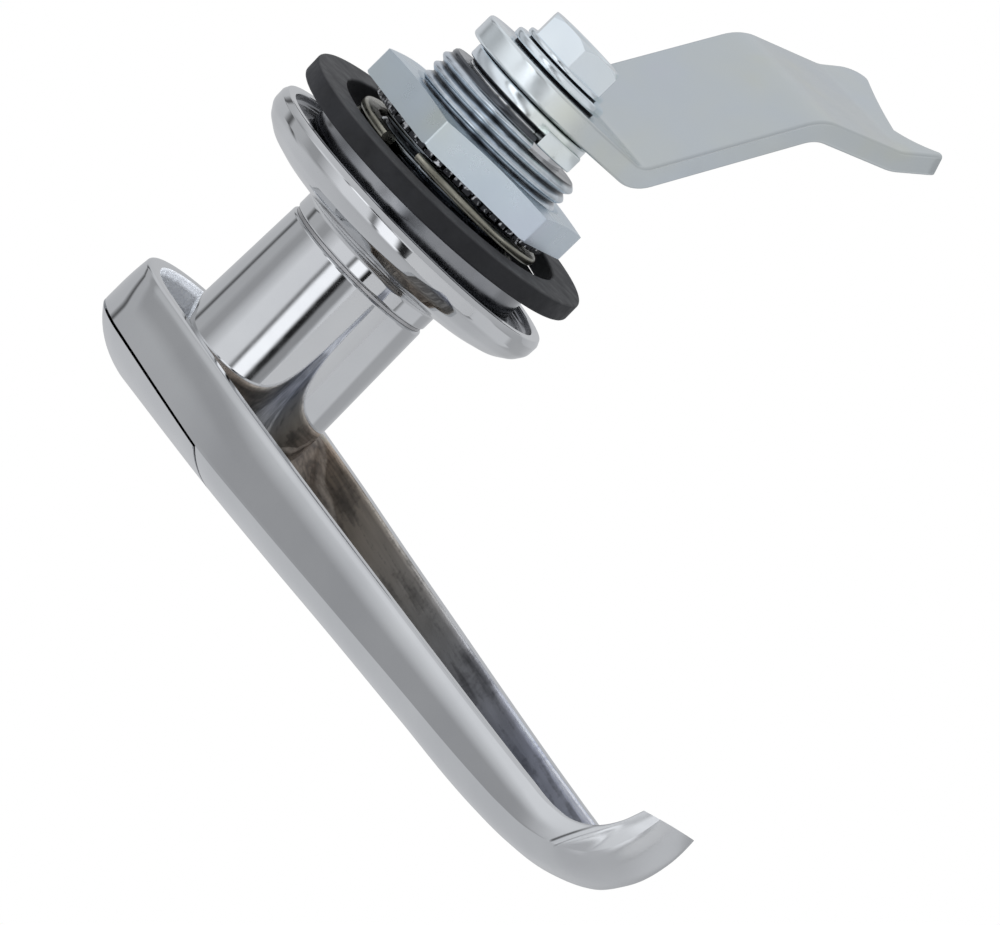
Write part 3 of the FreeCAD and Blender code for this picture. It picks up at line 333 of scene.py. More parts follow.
class Look(Tree):
    """Node tree of a material. Its numbers over a place are in metres."""

    def __init__(self, name, metallic=0.0):
        self.material = bpy.data.materials.new(name)
        self.material.use_nodes = True
        super().__init__(self.material.node_tree)
        self.shader = self.tree.nodes["Principled BSDF"]
        self.place = self.add("ShaderNodeTexCoord").outputs["Object"]
        self.set("Metallic", metallic)

    def set(self, name, value):
        self.link(value, self.shader.inputs[name])

    def noise(self, scale, detail=3.0, rough=0.55, stretch=None):
        node = self.add("ShaderNodeTexNoise")
        node.inputs["Scale"].default_value = scale
        node.inputs["Detail"].default_value = detail
        node.inputs["Roughness"].default_value = rough
        place = self.place
        if stretch:
            mapping = self.add("ShaderNodeMapping")
            mapping.inputs["Scale"].default_value = stretch
            self.link(place, mapping.inputs["Vector"])
            place = mapping.outputs["Vector"]
        self.link(place, node.inputs["Vector"])
        return node.outputs["Fac"]

    def reach(self, direction):
        """How far a point lies along a direction."""
        node = self.add("ShaderNodeVectorMath", operation="DOT_PRODUCT")
        self.link(self.place, node.inputs[0])
        self.link(direction, node.inputs[1])
        return node.outputs["Value"]

    def facing(self):
        """The X, Y and Z of the direction a point faces."""
        return self.split(self.add("ShaderNodeNewGeometry").outputs["Normal"])

    def bump(self, height, distance, strength):
        node = self.add("ShaderNodeBump")
        node.inputs["Strength"].default_value = strength
        node.inputs["Distance"].default_value = distance
        self.link(height, node.inputs["Height"])
        self.set("Normal", node.outputs["Normal"])


def make_chrome():
    """Bright plating, duller at the hook, with two thin lines of painted shade where the scoop of the hook
    starts.
    """
    look = Look("chrome_plate", metallic=1.0)
    tone = look.ramp(look.noise(90, 4), [(0.3, (0.665, 0.675, 0.69)), (0.7, (0.72, 0.73, 0.74))])
    clear, half, full = (0, 0, 0), (0.5, 0.5, 0.5), (1, 1, 1)
    # Painted shade: two thin dark lines along the edge of the hook's scoop stand in for shade in its crease.
    across = look.levels(look.reach((0, 0.374, 0.927)), 0.0, 1.0, -0.08747, -0.08627)
    lines = look.ramp(
        across,
        [(0.12, clear), (0.2, half), (0.28, clear), (0.52, clear), (0.64, full), (0.70, full), (0.82, clear)],
    )
    place = look.split(look.place)
    rim_end = look.levels(place["Y"], 1.0, 0.0, -0.0245, -0.0215)
    front_end = look.levels(place["Y"], 0.0, 0.8, -0.0272, -0.0268)
    groove_shade = look.product(lines, look.product(front_end, rim_end))
    look.set("Base Color", look.scaled(tone, look.levels(groove_shade, 1.0, 0.0, 0.0, 1.0)))
    hook = look.levels(place["Z"], 0.0, 0.2, -0.079, -0.083)
    polish = look.levels(look.noise(500, 4, 0.6), 0.03, 0.07)
    look.set("Roughness", look.math("ADD", polish, hook))
    look.bump(look.noise(70, 2, 0.4, (1, 1, 0.35)), 0.0001, 0.2)
    return look.material


def make_inside():
    """Unpolished plating in the channel: bluish by the hook, brownish by the neck, streaked along the arm,
    with painted light along its rim and on its far wall. The pocket in the head is painted bright as a
    stand-in for the light it reflects."""
    look = Look("channel_plate")
    height = look.split(look.place)["Z"]
    # The top stop, near white, is the painted light of the pocket in the head.
    tone = look.ramp(
        look.levels(height, 0.0, 1.0, -0.085, 0.015),
        [
            (0.0, (0.60, 0.62, 0.68)),
            (0.22, (0.37, 0.39, 0.46)),
            (0.45, (0.40, 0.40, 0.40)),
            (0.66, (0.44, 0.40, 0.35)),
            (0.78, (0.46, 0.38, 0.31)),
            (0.9, (0.90, 0.92, 0.95)),
        ],
    )
    # Painted light: the plate is painted lighter towards the rim of the channel.
    rim = look.levels(look.reach((0, 1, 0.0205)), 1.0, 2.2, -0.0277, -0.0272)
    wear = look.levels(look.noise(600, 3, 0.6, (1, 1, 0.05)), 0.8, 1.2)
    # Painted light: walls facing +X are painted lighter.
    far_wall_light = look.levels(look.facing()["X"], 1.0, 1.9, 0.35, 0.85)
    streaks = look.levels(look.noise(1300, 2, 0.5, (1, 1, 0.03)), 0.5, 1.0, 0.4, 0.62)
    stains = look.levels(look.noise(110, 4, 0.6, (1, 1, 0.5)), 1.0, 0.45, 0.48, 0.66)
    grains = look.levels(look.noise(1700, 3), 0.75, 1.0, 0.35, 0.55)
    # Painted light: the pocket in the head is painted near white and made less metallic, in place of the light
    # it reflects.
    pocket = look.levels(height, 0.0, 1.0, 0.001, 0.006)
    shade = look.product(look.product(streaks, stains), look.product(grains, far_wall_light))
    shade = look.math("MAXIMUM", shade, pocket)
    plate = look.scaled(tone, look.product(rim, wear))
    look.set("Base Color", look.mix(shade, (0.03, 0.03, 0.035, 1), plate))
    look.set("Metallic", look.levels(height, 0.6, 0.0, 0.001, 0.006))
    look.set("Roughness", look.levels(look.noise(500, 5), 0.3, 0.48))
    look.bump(look.noise(1200, 4), 0.00003, 0.35)
    return look.material


def plating(name, rough_low, rough_high):
    """Metal with the fine unevenness of zinc plate, without its colour."""
    look = Look(name, metallic=1.0)
    look.set("Roughness", look.levels(look.noise(260, 4, 0.6), rough_low, rough_high))
    look.bump(look.noise(60, 1), 0.0001, 0.2)
    return look


def zinc_film(look, shade):
    """Faint coloured film, which drifts from greenish yellow to violet."""
    film = [
        (0.25, (0.66, 0.67, 0.57)),
        (0.40, (0.63, 0.66, 0.65)),
        (0.55, (0.61, 0.65, 0.67)),
        (0.70, (0.62, 0.64, 0.68)),
        (0.85, (0.66, 0.66, 0.64)),
    ]
    stops = [(place, tuple(level * part for level, part in zip(shade, colour))) for place, colour in film]
    return look.ramp(look.noise(38, 3, 0.6), stops)


def make_zinc(name, shade, rough_low, rough_high):
    look = plating(name, rough_low, rough_high)
    look.set("Base Color", zinc_film(look, shade))
    return look.material


def make_cam_zinc():
    """Zinc plate of the cam, with painted light making its round end brighter."""
    look = plating("cam_zinc", 0.15, 0.27)
    # Painted light: the round end is painted brighter.
    hub_light = look.levels(look.split(look.place)["X"], 1.0, 1.42, 0.001, 0.007)
    look.set("Base Color", look.scaled(zinc_film(look, PLAIN_SHADE), hub_light))
    return look.material


def make_dark_zinc():
    """Zinc in narrow gaps, painted dark as shade, with small painted glints."""
    look = plating("shaded_zinc", 0.12, 0.25)
    # Painted shade with small painted glints.
    painted_glints = [(0.54, (0.035, 0.036, 0.04)), (0.64, (0.5, 0.51, 0.53))]
    look.set("Base Color", look.ramp(look.noise(1500, 2), painted_glints))
    return look.material


def make_thread_zinc():
    """Zinc plate on the barrel, with painted shade in the thread's roots and under the nut."""
    look = plating("thread_zinc", 0.12, 0.24)
    place = look.split(look.place)
    flat = look.add("ShaderNodeCombineXYZ")
    look.link(place["X"], flat.inputs["X"])
    look.link(place["Z"], flat.inputs["Z"])
    radius = look.add("ShaderNodeVectorMath", operation="LENGTH")
    look.link(flat.outputs[0], radius.inputs[0])
    # Painted shade: darker towards the thread's roots.
    root = look.levels(radius.outputs["Value"], 0.12, 1.0, 0.0103, 0.0106)
    worn = look.levels(look.noise(420, 3, 0.6, (1, 0.3, 1)), 0.7, 1.0)
    nut_shade = look.levels(place["Y"], 0.45, 1.0, 0.0066, 0.0082)
    film = zinc_film(look, (1.22, 1.27, 1.38))
    light = look.product(root, worn, nut_shade)
    look.set("Base Color", look.mix(light, (0.02, 0.02, 0.025, 1), film))
    return look.material


def make_rubber():
    """Black rubber, painted lighter on its inner side as light falling on it."""
    look = Look("black_rubber")
    clean = [(0.3, (0.010, 0.0105, 0.0125)), (0.75, (0.020, 0.021, 0.025))]
    painted_light_tone = [(0.3, (0.040, 0.041, 0.044)), (0.75, (0.068, 0.068, 0.071))]
    clean = look.ramp(look.noise(240, 5, 0.6), clean)
    painted_light_tone = look.ramp(look.noise(180, 5, 0.6), painted_light_tone)
    # Painted light: faces towards +Y are painted lighter.
    painted_light_side = look.levels(look.facing()["Y"], 0.0, 1.0, 0.4, 0.9)
    look.set("Base Color", look.mix(painted_light_side, clean, painted_light_tone))
    look.set("Roughness", look.levels(look.noise(500, 4), 0.5, 0.72))
    look.set("Specular IOR Level", 0.4)
    look.bump(look.noise(1500, 4), 0.00004, 0.3)
    return look.material


def make_metal(name, dark, light, rough_low, rough_high, scale=300):
    look = Look(name, metallic=1.0)
    look.set("Base Color", look.ramp(look.noise(scale, 4), [(0.3, dark), (0.7, light)]))
    look.set("Roughness", look.levels(look.noise(scale * 3, 5), rough_low, rough_high))
    look.bump(look.noise(scale, 3), 0.00003, 0.2)
    return look.material


PLAIN_SHADE = (1.04, 1.05, 1.07)
CHROME = make_chrome()
ZINC = make_zinc("zinc_plate", PLAIN_SHADE, 0.15, 0.27)
CAM_ZINC = make_cam_zinc()
BLUE_ZINC = make_zinc("blue_zinc", (1.15, 1.22, 1.30), 0.24, 0.36)
BRIGHT_ZINC = make_zinc("bright_zinc", (1.42, 1.45, 1.50), 0.12, 0.24)
SHADED_CHROME = make_metal("shaded_chrome", (0.26, 0.27, 0.29), (0.34, 0.345, 0.36), 0.10, 0.2, 120)
SHADED_ZINC = make_dark_zinc()
THREAD_ZINC = make_thread_zinc()
RUBBER = make_rubber()
NICKEL = make_metal("dull_nickel", (0.30, 0.29, 0.24), (0.46, 0.45, 0.38), 0.22, 0.4)
# Painted shade for the narrow gaps between washers, cam and bolt.
GAP_SHADE = make_metal("painted_gap_shade", (0.010, 0.010, 0.012), (0.022, 0.022, 0.026), 0.5, 0.7)
STEEL = make_metal("machined_steel", (0.42, 0.42, 0.43), (0.55, 0.55, 0.56), 0.2, 0.35)
BRASS = make_metal("machined_brass", (0.62, 0.46, 0.20), (0.74, 0.58, 0.28), 0.18, 0.34)
INSIDE = make_inside()

SLOTS = {"chrome": CHROME, "zinc": ZINC, "rubber": RUBBER, "nickel": NICKEL, "steel": STEEL, "brass": BRASS}
for part in frame["record"]["subparts"]:
    for mesh_slot in frame["nodes"][part["node"]].material_slots:
        mesh_slot.material = SLOTS[part["material_slot"]]


# Handle and cover

HEAD_DOWN = -8.3
FAN_STEPS = 64
BORE = 7.02
# The keyhole cover: its seam, the gap on either side of it, its pivot, its round edge and its lower end
SEAM = -34.0
HANDLE_GAP = 0.16
COVER_GAP = 0.18
PIVOT = (0, -14.8)
COVER_RADIUS = 30.7
COVER_ROOM = 0.5
COVER_END = 24.0
PAST_FRONT = 60
# The web across the head, and where the plain channel starts
WEB_BACK = -31.4
WEB_END = 22.0
RIB_HEIGHT = 1.2
INNER_POINTS = 28
INSIDE_COLUMNS = 24
# The rim of the channel: its rounding, and the share of the side below it
RIM_ROUND = 0.45
RIM_SHARE = 0.86
# The scoop on the sides of the hook: its depth as a share of the side's height, where it starts past the
# straight arm, how far its edge slants, the length over which it deepens, and the groove along its edge
SCOOP_DEPTH = 0.42
SCOOP_START = 11.4
SCOOP_SLANT = 4.4
SCOOP_LENGTH = 3.0
GROOVE_DEPTH = 0.06
GROOVE_WIDTH = 0.4

Station = namedtuple("Station", "down along lean depth half crown floor wall past_arm")

# Stations of the arm: down, along, lean, depth, half width, crown, floor of the channel, wall
STATIONS = np.array(
    [
        [-8.3, -26.8, 90, 12.5, 12.6, 5.1, 2.2, 2.3],
        [4.0, -26.65, 90, 11.8, 12.45, 4.4, 2.2, 1.9],
        [14.0, -26.5, 90, 11.2, 12.1, 3.8, 2.2, 1.8],
        [28.0, -26.3, 90, 10.3, 10.95, 3.6, 2.2, 1.8],
        [42.0, -26.0, 90, 9.4, 9.75, 3.5, 2.2, 1.8],
        [56.0, -25.7, 90, 8.6, 8.5, 3.5, 2.2, 1.8],
        [70.0, -25.3, 90, 7.8, 7.3, 3.4, 2.2, 1.75],
        [75.0, -25.1, 96, 7.1, 6.85, 3.1, 2.1, 1.65],
        [79.3, -24.8, 106, 6.1, 6.4, 2.7, 2.0, 1.5],
        [82.4, -23.9, 121, 5.1, 5.9, 2.2, 1.8, 1.4],
        [84.4, -22.3, 141, 4.1, 5.3, 1.7, 1.6, 1.3],
        [85.5, -20.3, 166, 3.3, 4.7, 1.3, 1.5, 1.25],
        [86.1, -17.9, 202, 2.9, 4.1, 1.0, 1.4, 1.15],
    ]
)
ARM_END = 6
ARM_SPACING = 0.55
HOOK_SPACING = 0.2


def dense_stations():
    """Smooth stations between the named ones, closer on the hook, each with its distance past the arm."""
    gaps = np.hypot(np.diff(STATIONS[:, 0]), np.diff(STATIONS[:, 1]))
    place = np.concatenate([[0], np.cumsum(gaps)])
    tangents = np.gradient(STATIONS, place, axis=0)
    dense = []
    for index in range(len(place) - 1):
        span = place[index + 1] - place[index]
        count = max(3, int(span / (HOOK_SPACING if index >= ARM_END else ARM_SPACING)))
        for step in range(count):
            t = step / count
            a = 2 * t ** 3 - 3 * t ** 2 + 1
            b = t ** 3 - 2 * t ** 2 + t
            c = -2 * t ** 3 + 3 * t ** 2
            d = t ** 3 - t ** 2
            row = (
                a * STATIONS[index]
                + b * span * tangents[index]
                + c * STATIONS[index + 1]
                + d * span * tangents[index + 1]
            )
            dense.append(Station(*row, place[index] + t * span - place[ARM_END]))
    dense.append(Station(*STATIONS[-1], place[-1] - place[ARM_END]))
    return dense


def crown_line(half, depth, crown):
    """Crowned front from the side wall to the middle: a round shoulder, then a flatter middle."""
    shoulder_steps, middle_steps, shoulder_bend = 10, 6, 1.3
    shoulder = half * 0.5
    rise = 0.5 * crown / 3.5
    run, drop = half - shoulder, crown - rise
    centre = np.array(
        [
            (half + shoulder) / 2 - drop * shoulder_bend,
            (crown + rise) / 2 - depth + run * shoulder_bend,
        ]
    )
    start = np.array([half, crown - depth]) - centre
    finish = np.array([shoulder, rise - depth]) - centre
    first, last = math.atan2(start[1], start[0]), math.atan2(finish[1], finish[0])
    radius = np.linalg.norm(start)
    points = []
    for step in range(1, shoulder_steps + 1):
        angle = first + (last - first) * step / shoulder_steps
        points.append((centre[0] + radius * math.cos(angle), centre[1] + radius * math.sin(angle)))
    middle_radius = (shoulder ** 2 + rise ** 2) / (2 * rise)
    for step in range(1, middle_steps + 1):
        x = shoulder * (1 - step / middle_steps)
        points.append((x, middle_radius - depth - math.sqrt(middle_radius ** 2 - x ** 2)))
    return points


def outer_line(station):
    """Half section of the outside, from the rim's middle to the middle of the front. Past a slanting line on
    the hook the side is scooped, with a groove along that line."""
    half, wall = station.half, station.wall
    flat = station.depth - station.crown

    def side(share):
        """Point of the side, from the front at 0 to the rim at 1."""
        swell = 0.3 * wall * max(share - 0.35, 0.0) ** 2
        past_edge = station.past_arm - SCOOP_START - SCOOP_SLANT * share
        scoop = SCOOP_DEPTH * flat * smooth_between(0.0, SCOOP_LENGTH, past_edge) * (1 - share)
        groove = GROOVE_DEPTH * math.exp(-((past_edge / GROOVE_WIDTH) ** 2)) * smooth_between(0.9, 0.6, share)
        return (half - swell - scoop - groove, -flat * (1 - share))

    front_half = side(0.0)[0]
    rim = fillet([(half - wall / 2, 0), (side(1.0)[0], 0), side(RIM_SHARE)], [0, RIM_ROUND, 0])
    middle = [side(RIM_SHARE - 0.8 * step / 12) for step in range(1, 13)]
    front = crown_line(front_half, station.depth, station.crown)
    crease = fillet([middle[-1], (front_half, -flat), front[0]], [0, 0.15, 0], 4)
    return rim + middle + crease[1:] + front[1:]


def inner_line(station):
    """Half section of the hollow, from the middle of its floor to the rim's middle. The hollow gets shallow on
    the hook. In the head its floor is the web, with a rib across it below the neck."""
    down = station.down
    deep = (station.depth - station.floor) * (1 - 0.75 * smooth_between(8, 14, station.past_arm))
    if down < WEB_END:
        channel = smooth_between(10, 27, down)
        deep = (station.along - WEB_BACK) * (1 - channel) + deep * channel
        rib = smooth_between(1.8, 2.3, down) * smooth_between(11.5, 5.5, down)
        deep = deep * (1 - rib) + RIB_HEIGHT * rib
    inner = station.half - station.wall
    dish = min(0.25 * deep, 0.8)
    corners = [
        (0, -deep),
        (inner * 0.55, -deep + dish * 0.2),
        (inner * 0.99, -deep + dish),
        (inner, 0),
        (station.half - station.wall / 2, 0),
    ]
    points = fillet(corners, [0, 3.0, min(1.3, deep * 0.5), 0.35, 0], 6)
    extra = INNER_POINTS - len(points)
    start, finish = np.array(points[0]), np.array(points[1])
    filler = [tuple(start + (finish - start) * (k / (extra + 1))) for k in range(1, extra + 1)]
    return points[:1] + filler + points[1:]


def lay(station, line, sign):
    """Points of a half section placed on the arm."""
    c, s = math.cos(math.radians(station.lean)), math.sin(math.radians(station.lean))
    return [(sign * x, station.down + c * y, station.along + s * y) for x, y in line]


def spin(line, along, angle):
    """A half section turned about the head's axis."""
    return [(x * math.cos(angle), HEAD_DOWN + x * math.sin(angle), along + y) for x, y in line]


def wrap(stations, lines):
    """Rows up one side of the arm, round the head and down the other side."""
    left = [lay(station, line, -1) for station, line in zip(stations, lines)]
    right = [lay(station, line, 1) for station, line in zip(stations, lines)]
    fan = []
    for step in range(1, FAN_STEPS):
        fan.append(spin(lines[0], stations[0].along, math.pi + math.pi * step / FAN_STEPS))
    return left[::-1] + fan + right


def arm_shell():
    """Head, channelled arm and hook as one shell."""
    stations = dense_stations()
    sections = [inner_line(station) + outer_line(station) for station in stations]
    shape = Shape()
    shape.grid(wrap(stations, sections), second_columns=range(INSIDE_COLUMNS))
    count = len(sections[0])
    last = len(shape.points) - count
    shape.faces.append(tuple(range(count)) + tuple(reversed(range(last, last + count))))
    return make_mesh("handle_arm", shape)


def tip_corner(side):
    """What rounds a corner off the tip of the hook."""
    tip = dense_stations()[-1]
    end = tip.along - tip.depth * math.sin(math.radians(tip.lean)) + 0.05
    radius, inset, past = 2.2, 2.0, 3
    centre = (tip.half - inset, end - radius)
    outline = arc(radius, 14, 90, 12, centre)
    far_x, far_end, start = tip.half + past, end + past, outline[0][1] + 0.7
    outline += [(centre[0], far_end), (far_x, far_end), (far_x, start)]
    shape = Shape()
    shape.prism(outline, 78, 92)
    shape.points = [(side * x, down, along) for x, along, down in shape.points]
    return make_mesh("tip_corner", shape)


def front_lump():
    """Solid front of the head, which the cover is cut from."""
    stations = [station for station in dense_stations() if station.down < COVER_END]
    lines = [[(0, 0), (station.half * 0.5, 0)] + outer_line(station) for station in stations]
    rows = wrap(stations, lines)
    shape = Shape()
    shape.grid(rows)
    shape.grid([rows[0], rows[-1]])
    return make_mesh("cover_front", shape)


def make_handle():
    """Head, arm and hook in one casting with the neck, the shaft and its square end."""
    arm = arm_shell()
    carve(arm, disc("cover_room", COVER_RADIUS + COVER_ROOM, SEAM - PAST_FRONT, SEAM + HANDLE_GAP, PIVOT))
    carve(arm, tip_corner(1))
    carve(arm, tip_corner(-1))
    carve(arm, disc("key_hole", BORE, SEAM - 5, WEB_BACK + 1))
    profile = [
        (BORE, -32.6),
        (10.92, -32.6),
        (10.3, -9.3),
        (8.0, -9.3),
        (8.0, 17.2),
        (3.0, 17.2),
        (3.0, -11.9),
        (BORE, -11.9),
        (BORE, -32.6),
    ]
    neck = lathe("handle_neck", fillet(profile, [0, 0.1, 0.35, 0.1, 0.3, 0, 0, 0, 0])[:-1], 192)
    carve(neck, block("bolt_slot", (-3.55, 3.55), (-9, 5.45), 0.15, 3.65))
    square = block("handle_square", (-4, 4), (-4, 4), 16.2, 22.1)
    casting = join([arm, neck, square], "handle_casting")
    finish_piece(casting, CHROME, "handle", "handle", 30, INSIDE)


def make_cover():
    """Keyhole cover, shaded along its round edge."""
    cover = front_lump()
    reach = disc("cover_reach", COVER_RADIUS, SEAM - PAST_FRONT, SEAM - COVER_GAP, PIVOT)
    carve(cover, reach, "INTERSECT")
    carve(cover, disc("cover_hollow", 8.6, SEAM - 3.2, SEAM + 1))
    for face in cover.data.polygons:
        radius = math.hypot(face.center.x, face.center.z + PIVOT[1] * MM)
        face.material_index = 1 if radius > (COVER_RADIUS - 0.05) * MM else 0
    finish_piece(cover, CHROME, "cover_plate", "cover", 30, SHADED_CHROME)


# Flange, barrel, gasket, ring and nut

def make_flange():
    """Round flange with its boss, shaded in the groove behind its edge."""
    shape = Shape()
    profile = [
        (8.05, -8.9),
        (10.2, -8.9),
        (10.2, -6.7),
        (13.1, -5.95),
        (16.2, -5.35),
        (18.4, -4.65),
        (20.0, -3.5),
        (20.85, -2.2),
        (20.9, -0.7),
        (20.55, 0.0),
        (19.3, 0.0),
        (19.3, -1.3),
        (16.0, -1.3),
        (16.0, 4.3),
        (11.02, 4.3),
        (11.02, -4.6),
        (8.05, -4.6),
        (8.05, -8.9),
    ]
    radii = [0, 0.3, 0.6, 3, 6, 3.2, 2.2, 1.5, 0.5, 0.2, 0.25, 0.6, 0.5, 0.5, 0, 0, 0, 0]
    shape.turned(fillet(profile, radii, 6)[:-1], 224)
    groove_inside, groove_outside, groove_floor = 15.9, 19.32, -1.4
    for index in range(len(shape.faces)):
        x, down, along = shape.middle(index)
        if groove_inside < math.hypot(x, down) < groove_outside and along > groove_floor:
            shape.second.add(index)
    finish_piece(make_mesh("flange_disc", shape), CHROME, "flange", "housing", 34, SHADED_CHROME)


def make_barrel():
    """Barrel with a helical thread, a recess for the stop washer's ear and notches for the locking bolt."""
    root, crest, pitch = 10.25, 10.9, 1.5
    bore, base, low, high = 8.05, -4.58, 4.3, 16.9
    chamfer = 0.25
    segments, rings = 180, 190
    rows = []
    for step in range(segments):
        column = [(bore, base), (11.0, base), (11.0, low - 0.05)]
        for index in range(rings + 1):
            along = low + (high - chamfer - low) * index / rings
            phase = ((along - low) / pitch - step / segments) % 1.0
            height = 0.5 + 0.5 * math.cos(2 * math.pi * (phase - 0.5))
            fade = smooth_between(16.6, 15.9, along)
            column.append((root + (crest - root) * height ** 0.7 * fade, along))
        column += [(root - chamfer, high), (8.3, high), (bore, high - chamfer)]
        rows.append(about_axis(column, 2 * math.pi * step / segments))
    shape = Shape()
    shape.grid(rows, close_rows=True, close_columns=True)
    barrel = make_mesh("barrel_thread", shape)
    carve(barrel, extrude("recess", [(0, 0)] + arc(16, 65.5, 192.5, 8), 15.3, 18))
    carve(barrel, block("shut_notch", (-3.7, 3.7), (-9.6, 0), 0, 3.8))
    carve(barrel, block("open_notch", (0, 9.6), (-3.7, 3.7), 0, 3.8))
    finish_piece(barrel, THREAD_ZINC, "threaded_barrel", "housing", 28)


def make_gasket():
    """Flat ring, lying at a slant."""
    inside, outside, half_thick = 16.25, 20.7, 1.25
    profile = fillet(
        [
            (inside, -half_thick),
            (outside, -half_thick),
            (outside, half_thick),
            (inside, half_thick),
            (inside, -half_thick),
            (outside, -half_thick),
        ],
        [0, 0.35, 0.35, 0.3, 0.3, 0],
        4,
    )[1:-1]
    shape = Shape()
    shape.turned(profile, 200)
    lean = Matrix.Rotation(math.radians(3.5), 3, Vector((-1, 3, 0)).normalized())
    centre = Vector((0, 0.1, 4.55))
    shape.points = [tuple(lean @ Vector(point) + centre) for point in shape.points]
    finish_piece(make_mesh("gasket_ring", shape), RUBBER, "panel_gasket", "housing", 40)


def make_spring_ring():
    """One open coil of flattened wire."""
    low, rise = 4.35, 1.25
    first_turn, turned = 4.2, -338.8
    steps = 120
    section = fillet(
        [(11.4, 0.55), (11.4, 0), (13.6, 0), (13.6, 1.1), (11.4, 1.1), (11.4, 0.55)],
        [0, 0.42, 0.42, 0.42, 0.42, 0],
    )[:-1]
    sections = []
    for step in range(steps + 1):
        share = step / steps
        lifted = [(radius, low + rise * share + along) for radius, along in section]
        sections.append(about_axis(lifted, math.radians(first_turn + turned * share)))
    shape = Shape()
    shape.sweep(sections)
    finish_piece(make_mesh("spring_ring_wire", shape), NICKEL, "spring_ring", "housing", 40)


def make_nut():
    """Hexagon nut with a toothed collar underneath."""
    bore, across_flats, turn, corner_flat = 10.95, 27.5, 27.5, 0.12
    envelope = [
        (bore, 7.8),
        (15.6, 7.8),
        (15.9, 8.0),
        (16.5, 8.4),
        (16.5, 11.4),
        (13.55, 11.8),
        (11.5, 11.8),
        (bore, 11.25),
    ]
    nut = lathe("nut_blank", envelope, 216)
    corners = [np.array(corner) for corner in hexagon(across_flats, turn)]
    outline = []
    for index, corner in enumerate(corners):
        back, ahead = corners[index - 1] - corner, corners[(index + 1) % 6] - corner
        outline.append(tuple(corner + back / np.linalg.norm(back) * corner_flat))
        outline.append(tuple(corner + ahead / np.linalg.norm(ahead) * corner_flat))
    carve(nut, extrude("nut_hexagon", outline, 5, 14), "INTERSECT")
    teeth = 56
    tooth_shape = [(0.0, 12.9), (0.16, 13.4), (0.5, 13.4), (0.84, 13.4)]
    rows = []
    for tooth in range(teeth):
        for share, radius in tooth_shape:
            column = [(bore, 6.95), (radius - 0.12, 6.95), (radius, 7.05), (radius, 7.85), (bore, 7.85)]
            rows.append(about_axis(column, 2 * math.pi * (tooth + share) / teeth))
    collar = Shape()
    collar.grid(rows, close_rows=True, close_columns=True, second_columns=range(5))
    nut = join([nut, make_mesh("nut_collar", collar)], "nut_body")
    # The toothed collar takes painted shade with painted glints.
    finish_piece(nut, BLUE_ZINC, "mounting_nut", "housing", 20, SHADED_ZINC)


# Stop washer, cam and bolt

def make_stop_washer():
    """Washer with an ear bent towards the barrel, and painted shade in the gaps below and above its rim."""
    bore, step_in, step_out = 3.9, 8.0, 8.1
    edge = fillet([(step_in, 17.56), (8.7, 17.56), (8.7, 19.14), (step_out, 19.14)], [0, 0.2, 0.25, 0], 4)
    profile = [(bore, 17.22), (step_in, 17.22)] + edge + [(step_out, 19.38), (bore, 19.38)]
    washer = lathe("stop_disc", profile, 144, second_columns=(1, len(profile) - 3))
    section = fillet(
        [(8.15, 18.5), (8.15, 16.3), (10.6, 16.3), (10.6, 18.5), (8.15, 18.5)],
        [0, 0.2, 0.25, 0.3, 0],
        4,
    )[:-1]
    steps = 24
    ear = Shape()
    ear.sweep([about_axis(section, math.radians(67 + 34 * step / steps)) for step in range(steps + 1)])
    washer = join([washer, make_mesh("stop_ear", ear)], "stop_washer_plate")
    finish_piece(washer, BRIGHT_ZINC, "stop_washer", "handle", 30, GAP_SHADE)


CAM_HALF = 10.15
CAM_THICK = 3.0
CAM_LOW = 19.4
CAM_EDGE = 0.45
# The cam's end: its far corner, a straight that slants and swells a little, a hollow arc and a short horn
END_X = -46.4
END_CORNER = 2.8
END_SLANT = 3.6
END_SWELL = 0.06
STRAIGHT_TO = 4.8
HOLLOW_X, HOLLOW_Y, HOLLOW_RADIUS = -51.86, 1.14, 9.77
HOLLOW_TO = 9.4
HORN_BEND = 0.6


def cam_path():
    """Lower face of the cam from the side, as rows of x, along and slope."""
    angles = [0.0, 50.5, 15.0, 29.0]
    lengths = [24.8, 14.2, 10.3]
    bends = [2.6, 5.0, 6.0]
    bend_steps = 10
    corner = np.array([-12.3, 0.0])
    path = [(12.0, 0.0, 0.0)]
    for index, length in enumerate(lengths):
        before, after = math.radians(angles[index]), math.radians(angles[index + 1])
        middle = (before + after) / 2
        reach = -(bends[index] + CAM_THICK) if after > before else bends[index]
        inwards = np.array([math.sin(middle), math.cos(middle)])
        centre = corner - inwards * reach / math.cos((after - before) / 2)
        for step in range(bend_steps + 1):
            slope = before + (after - before) * step / bend_steps
            point = centre + np.array([math.sin(slope), math.cos(slope)]) * reach
            path.append((point[0], point[1], slope))
        corner = corner + np.array([-math.cos(after), math.sin(after)]) * length
    path.append((corner[0], corner[1], math.radians(angles[-1])))
    return np.array(path)


def cam_end(y):
    """x of the flat face's end across the cam's width, inside its rounded edge."""
    far = -CAM_HALF + END_CORNER
    if y < far:
        radius = END_CORNER - CAM_EDGE
        return END_X + END_CORNER - math.sqrt(max(radius ** 2 - (y - far) ** 2, 0))
    if y < STRAIGHT_TO:
        share = (y - far) / (STRAIGHT_TO - far)
        return END_X + END_SLANT * (share + END_SWELL * math.sin(math.pi * share)) + CAM_EDGE
    hollow = HOLLOW_X + math.sqrt(HOLLOW_RADIUS ** 2 - (min(y, HOLLOW_TO) - HOLLOW_Y) ** 2) + CAM_EDGE
    return hollow + max(y - HOLLOW_TO, 0) ** 2 * HORN_BEND


